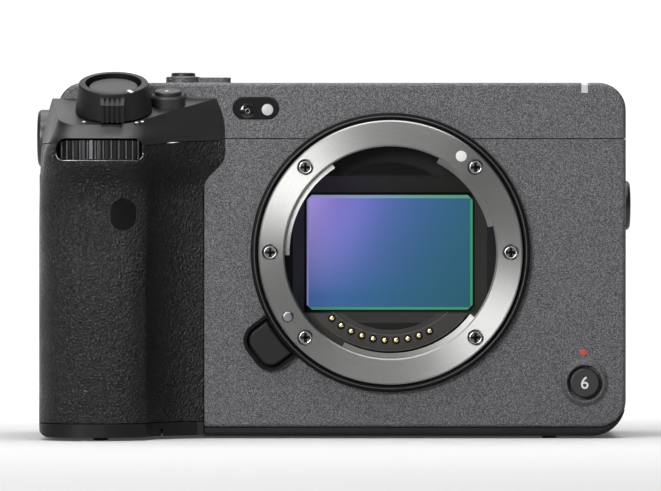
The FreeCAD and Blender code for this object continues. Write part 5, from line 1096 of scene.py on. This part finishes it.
@dataclass
class GripTopMarks:
    """White marks on the zoom lever, the grip's top and its small button."""

    workshop: Workshop
    lever_x: float = -59.8
    lever_y: float = -4.9
    lever_z: float = 30.546
    lever_lean: float = 20.5
    rim_height: float = 6.5
    mark_circle: float = 6.9
    mark_angle: float = -57.0
    mark_size: tuple[float, float, float] = (1.7 * MM, 0.85 * MM, 0.2 * MM)
    mark_round: float = 0.07 * MM
    mark_sink: float = 0.12
    top_dots: tuple[tuple[str, float, float], ...] = (
        ("wide_mark", -6.2, -7.0), ("tele_mark", 5.1, -7.4), ("tele_mark_2", 6.3, -6.8),
    )
    dot_radius: float = 0.42 * MM
    dot_sink: float = 0.02
    button_place: tuple[float, float, float, float] = (-48.2, -0.9, 32.04, 12.0)
    button_dot: tuple[float, float, float] = (-0.2, -0.6, 3.08)
    button_dot_radius: float = 0.4 * MM
    button_dot_thickness: float = 0.05 * MM

    def build(self) -> None:
        """Makes the marks."""
        lever = leaning(self.lever_x, self.lever_y, self.lever_z, self.lever_lean)
        spin = Matrix.Rotation(math.radians(self.mark_angle), 4, "Z")
        spot = Matrix.Translation(Vector((self.mark_circle, 0.0, self.rim_height - self.mark_sink)) * MM)
        mark = self.workshop.slab(self.mark_size, self.mark_round, lever @ spin @ spot)
        self.workshop.keep(mark, "zoom_lever_mark", "zoom_lever", "lamp_white", WHITE_PRINT)
        for name, x, y in self.top_dots:
            place = lever @ Matrix.Translation(Vector((x, y, -self.dot_sink)) * MM)
            dot = self.workshop.puck(self.dot_radius, PRINT_THICKNESS, PRINT_ROUND, place, 16)
            self.workshop.keep(dot, name, "camera_body", "lamp_white", WHITE_PRINT)
        place = leaning(*self.button_place) @ Matrix.Translation(Vector(self.button_dot) * MM)
        mark = self.workshop.puck(self.button_dot_radius, self.button_dot_thickness, PRINT_ROUND, place, 16)
        self.workshop.keep(mark, "grip_button_mark", "grip_top_button", "lamp_white", WHITE_PRINT)


@dataclass
class RearMarks:
    """Plain marks on the controls of the back."""

    workshop: Workshop
    menu_place: tuple[float, float] = (-62.0, 14.0)
    play_place: tuple[float, float] = (-48.5, -28.0)
    wheel_place: tuple[float, float] = (-56.0, -10.0)
    wheel_circle: float = 6.7
    wheel_dot_radius: float = 0.34 * MM
    triangle_radius: float = 0.95 * MM
    bar_size: tuple[float, float, float] = (1.7 * MM, 0.28 * MM, 0.06 * MM)
    bar_pitch: float = 0.6
    sink: float = 0.02

    def build(self) -> None:
        """Makes the marks."""
        shop = self.workshop
        x, z = self.menu_place
        bars = [
            shop.slab(self.bar_size, PRINT_ROUND, self._behind("menu_button", x, z, lift))
            for lift in (-self.bar_pitch, 0.0, self.bar_pitch)
        ]
        shop.keep(shop.gather(bars), "menu_button_mark", "menu_button", "lamp_white", WHITE_PRINT)
        x, z = self.play_place
        place = self._behind("playback_button", x, z) @ Matrix.Rotation(math.radians(90), 4, "Z")
        mark = shop.puck(self.triangle_radius, PRINT_THICKNESS, PRINT_ROUND, place, 3)
        shop.keep(mark, "playback_button_mark", "playback_button", "lamp_white", WHITE_PRINT)
        dots = []
        for quarter in range(4):
            turn = math.radians(90.0 * quarter)
            x = self.wheel_place[0] + self.wheel_circle * math.cos(turn)
            z = self.wheel_place[1] + self.wheel_circle * math.sin(turn)
            spot = self._behind("control_wheel", x, z)
            dots.append(shop.puck(self.wheel_dot_radius, PRINT_THICKNESS, PRINT_ROUND, spot, 16))
        shop.keep(shop.gather(dots), "control_wheel_marks", "control_wheel", "lamp_white", WHITE_PRINT)

    def _behind(self, node: str, x: float, z: float, lift: float = 0.0) -> Matrix:
        """A place on a rear control's face, in millimetres, sunk by the depth that hides a mark's foot.

        Args:
            node: The control's CAD node.
            x: Where its face is looked for along X.
            z: Where its face is looked for along Z.
            lift: How far above that the place lies.

        Returns:
            The matrix, in metres.
        """
        return facing_back(x, self.workshop.surface_y(node, x, z, behind=True) - self.sink, z + lift)


@dataclass
class DialRim:
    """The thin bright rim along the foot of the front dial's slot."""

    workshop: Workshop
    left: float = -71.9
    right: float = -53.2
    foot: float = 19.7
    rise: float = 21.3
    rounding: float = 1.5
    wire_radius: float = 0.12
    end_reach: float = 1.0
    outset: float = 0.3
    sink: float = 0.02

    def build(self) -> None:
        """Makes the rim, laid on the grip's surface."""
        flat: list[tuple[float, float]] = [(self.left, self.rise)]
        for middle, first in ((self.left + self.rounding, 180.0), (self.right - self.rounding, 270.0)):
            for step in range(9):
                turn = math.radians(first + 90.0 * step / 8)
                x = middle + self.rounding * math.cos(turn)
                flat.append((x, self.foot + self.rounding + self.rounding * math.sin(turn)))
            if first < 200.0:
                run = self.right - self.left - 2 * self.rounding
                flat.extend((middle + run * step / 12, self.foot) for step in range(1, 12))
        flat.append((self.right, self.rise))
        path = []
        for x, z in flat:
            side = -1.0 if x < self.left + self.end_reach else 1.0 if x > self.right - self.end_reach else 0.0
            front = self.workshop.surface_y("grip_leather", x + side * self.outset, z - self.outset)
            path.append(Vector((x, front + self.sink, z)) * MM)
        rim = self.workshop.wire(path, self.wire_radius * MM)
        self.workshop.keep(rim, "dial_slot_rim", "camera_body", "mount_steel", SILVER_TRIM)


@dataclass(frozen=True)
class FloorFinish(Finish):
    """A plain pale sweep: it glows towards its back as a lit backdrop does, and its front apron is darker."""

    front_glow: float = 0.06
    back_glow: float = 1.0
    glow_start: float = 0.05
    glow_end: float = 0.45
    apron_start: float = -0.75
    apron_end: float = -0.33
    apron_share: float = 0.25

    def dress(self, sketch: NodeSketch, shader: bpy.types.Node, shelf: PatternShelf) -> None:
        """Joins the glow to the shader.

        Args:
            sketch: The material's tree.
            shader: Its Principled BSDF.
            shelf: Where the shared patterns are; not used.
        """
        place = sketch.add("ShaderNodeTexCoord").outputs["Object"]
        depth = sketch.add("ShaderNodeSeparateXYZ", {0: place}).outputs[1]
        glow = sketch.spread(depth, self.glow_start, self.glow_end, self.front_glow, self.back_glow)
        near = sketch.spread(depth, self.apron_start, self.apron_end)
        apron = tuple(channel * self.apron_share for channel in self.colour)
        sketch.tree.links.new(sketch.blend(near, apron, self.colour), shader.inputs["Base Color"])
        shader.inputs["Roughness"].default_value = self.roughness
        shader.inputs["Emission Color"].default_value = (1.0, 1.0, 1.0, 1.0)
        sketch.tree.links.new(sketch.math("MULTIPLY", glow, near), shader.inputs["Emission Strength"])


PALE_FLOOR = FloorFinish("pale_floor", (0.46, 0.46, 0.46), roughness=0.9, specular=0.1)


@dataclass(frozen=True)
class Softbox:
    """One soft light: where it stands, how large it is and how bright."""

    name: str
    spot: tuple[float, float, float]
    size: tuple[float, float]
    power: float

    def build(self) -> None:
        """Adds the light, looking at the camera body."""
        lamp = bpy.data.lights.new(self.name, "AREA")
        lamp.shape = "RECTANGLE"
        lamp.size, lamp.size_y = self.size
        lamp.energy = self.power
        light = bpy.data.objects.new(self.name, lamp)
        bpy.context.scene.collection.objects.link(light)
        light.location = self.spot
        light.rotation_mode = "QUATERNION"
        light.rotation_quaternion = (Vector(LIGHT_AIM) - Vector(self.spot)).to_track_quat("-Z", "Y")


SOFTBOXES = (
    Softbox("key_light", (-0.375, -0.87, 0.285), (0.36, 0.36), 9.0),
    Softbox("strip_light", (-0.02, -0.09, 0.18), (0.30, 0.05), 0.42),
    Softbox("top_light", (0.0, 0.20, 0.90), (0.9, 0.9), 12.0),
)


@dataclass
class Stage:
    """The floor, the lights and the camera."""

    floor_height: float = -40.4
    eye: tuple[float, float, float] = (-13.0, -1400.0, 1.5)
    focal_length: float = 351.8
    half_width: float = 6.0
    near: float = -5.0
    far: float = 4.6
    wall: float = 4.5
    curve: float = 0.8
    sky: float = 0.04
    belt: float = 0.22
    belt_edge: float = 0.06
    sky_edge: float = 0.30

    def build(self, shelf: PatternShelf) -> None:
        """Sets everything round the object.

        Args:
            shelf: Where the shared patterns are.
        """
        self._floor(shelf)
        self._world()
        for softbox in SOFTBOXES:
            softbox.build()
        self._camera()

    def _floor(self, shelf: PatternShelf) -> None:
        """Makes a pale floor that rises into a backdrop.

        Args:
            shelf: Where the shared patterns are.
        """
        shape = bmesh.new()
        height = self.floor_height * MM
        start = shape.verts.new((-self.half_width, self.near, height))
        bend = shape.verts.new((-self.half_width, self.far, height))
        shape.edges.new((start, bend))
        arc = bmesh.ops.spin(
            shape, geom=[bend], cent=(-self.half_width, self.far, height + self.curve), axis=(1.0, 0.0, 0.0),
            angle=math.radians(90), steps=24, use_merge=False,
        )
        last = next(part for part in arc["geom_last"] if isinstance(part, bmesh.types.BMVert))
        raised = bmesh.ops.extrude_vert_indiv(shape, verts=[last])["verts"]
        bmesh.ops.translate(shape, vec=(0.0, 0.0, self.wall), verts=raised)
        swept = bmesh.ops.extrude_edge_only(shape, edges=list(shape.edges))["geom"]
        moved = [part for part in swept if isinstance(part, bmesh.types.BMVert)]
        bmesh.ops.translate(shape, vec=(2 * self.half_width, 0.0, 0.0), verts=moved)
        bmesh.ops.recalc_face_normals(shape, faces=shape.faces)
        mesh = bpy.data.meshes.new("studio_floor")
        shape.to_mesh(mesh)
        shape.free()
        mesh.shade_smooth()
        floor = bpy.data.objects.new("studio_floor", mesh)
        bpy.context.scene.collection.objects.link(floor)
        mesh.materials.append(PALE_FLOOR.material(shelf))

    def _world(self) -> None:
        """Sets a dim room with a pale belt at the height of the horizon."""
        world = bpy.data.worlds.new("studio")
        bpy.context.scene.world = world
        world.use_nodes = True
        sketch = NodeSketch(world.node_tree)
        backdrop = world.node_tree.nodes["Background"]
        backdrop.inputs["Color"].default_value = (1.0, 1.0, 1.0, 1.0)
        way = sketch.add("ShaderNodeTexCoord").outputs["Generated"]
        up = sketch.add("ShaderNodeSeparateXYZ", {0: way}).outputs[2]
        strength = sketch.spread(up, self.belt_edge, self.sky_edge, self.belt, self.sky)
        world.node_tree.links.new(strength, backdrop.inputs["Strength"])

    def _camera(self) -> None:
        """Sets the camera at the photograph's angle."""
        data = bpy.data.cameras.new("photo_view")
        data.sensor_width = 36.0
        data.lens = self.focal_length
        data.clip_end = 20.0
        camera = bpy.data.objects.new("photo_view", data)
        bpy.context.scene.collection.objects.link(camera)
        camera.location = Vector(self.eye) * MM
        camera.rotation_euler = (math.radians(90), 0.0, 0.0)
        bpy.context.scene.camera = camera
        bpy.context.scene.view_settings.view_transform = "Standard"


def dress_cad_nodes(workshop: Workshop) -> None:
    """Gives every CAD node its finish.

    Args:
        workshop: The frame and the patterns.
    """
    for name, node in workshop.frame["nodes"].items():
        material = NODE_FINISHES[name].material(workshop.shelf)
        node.data.materials.clear()
        node.data.materials.append(material)
        LOG.info("dressed %s as %s", name, material.name)


def main() -> None:
    """Builds the camera's looks."""
    logging.basicConfig(level=logging.INFO, format="%(name)s: %(message)s")
    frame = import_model()
    workshop = Workshop(frame, PatternShelf())
    dress_cad_nodes(workshop)
    LensMountMarks(workshop).build()
    FrontMarks(workshop).build()
    GripTopMarks(workshop).build()
    DialRim(workshop).build()
    RearMarks(workshop).build()
    Stage().build(workshop.shelf)


if __name__ == "__main__":
    main()
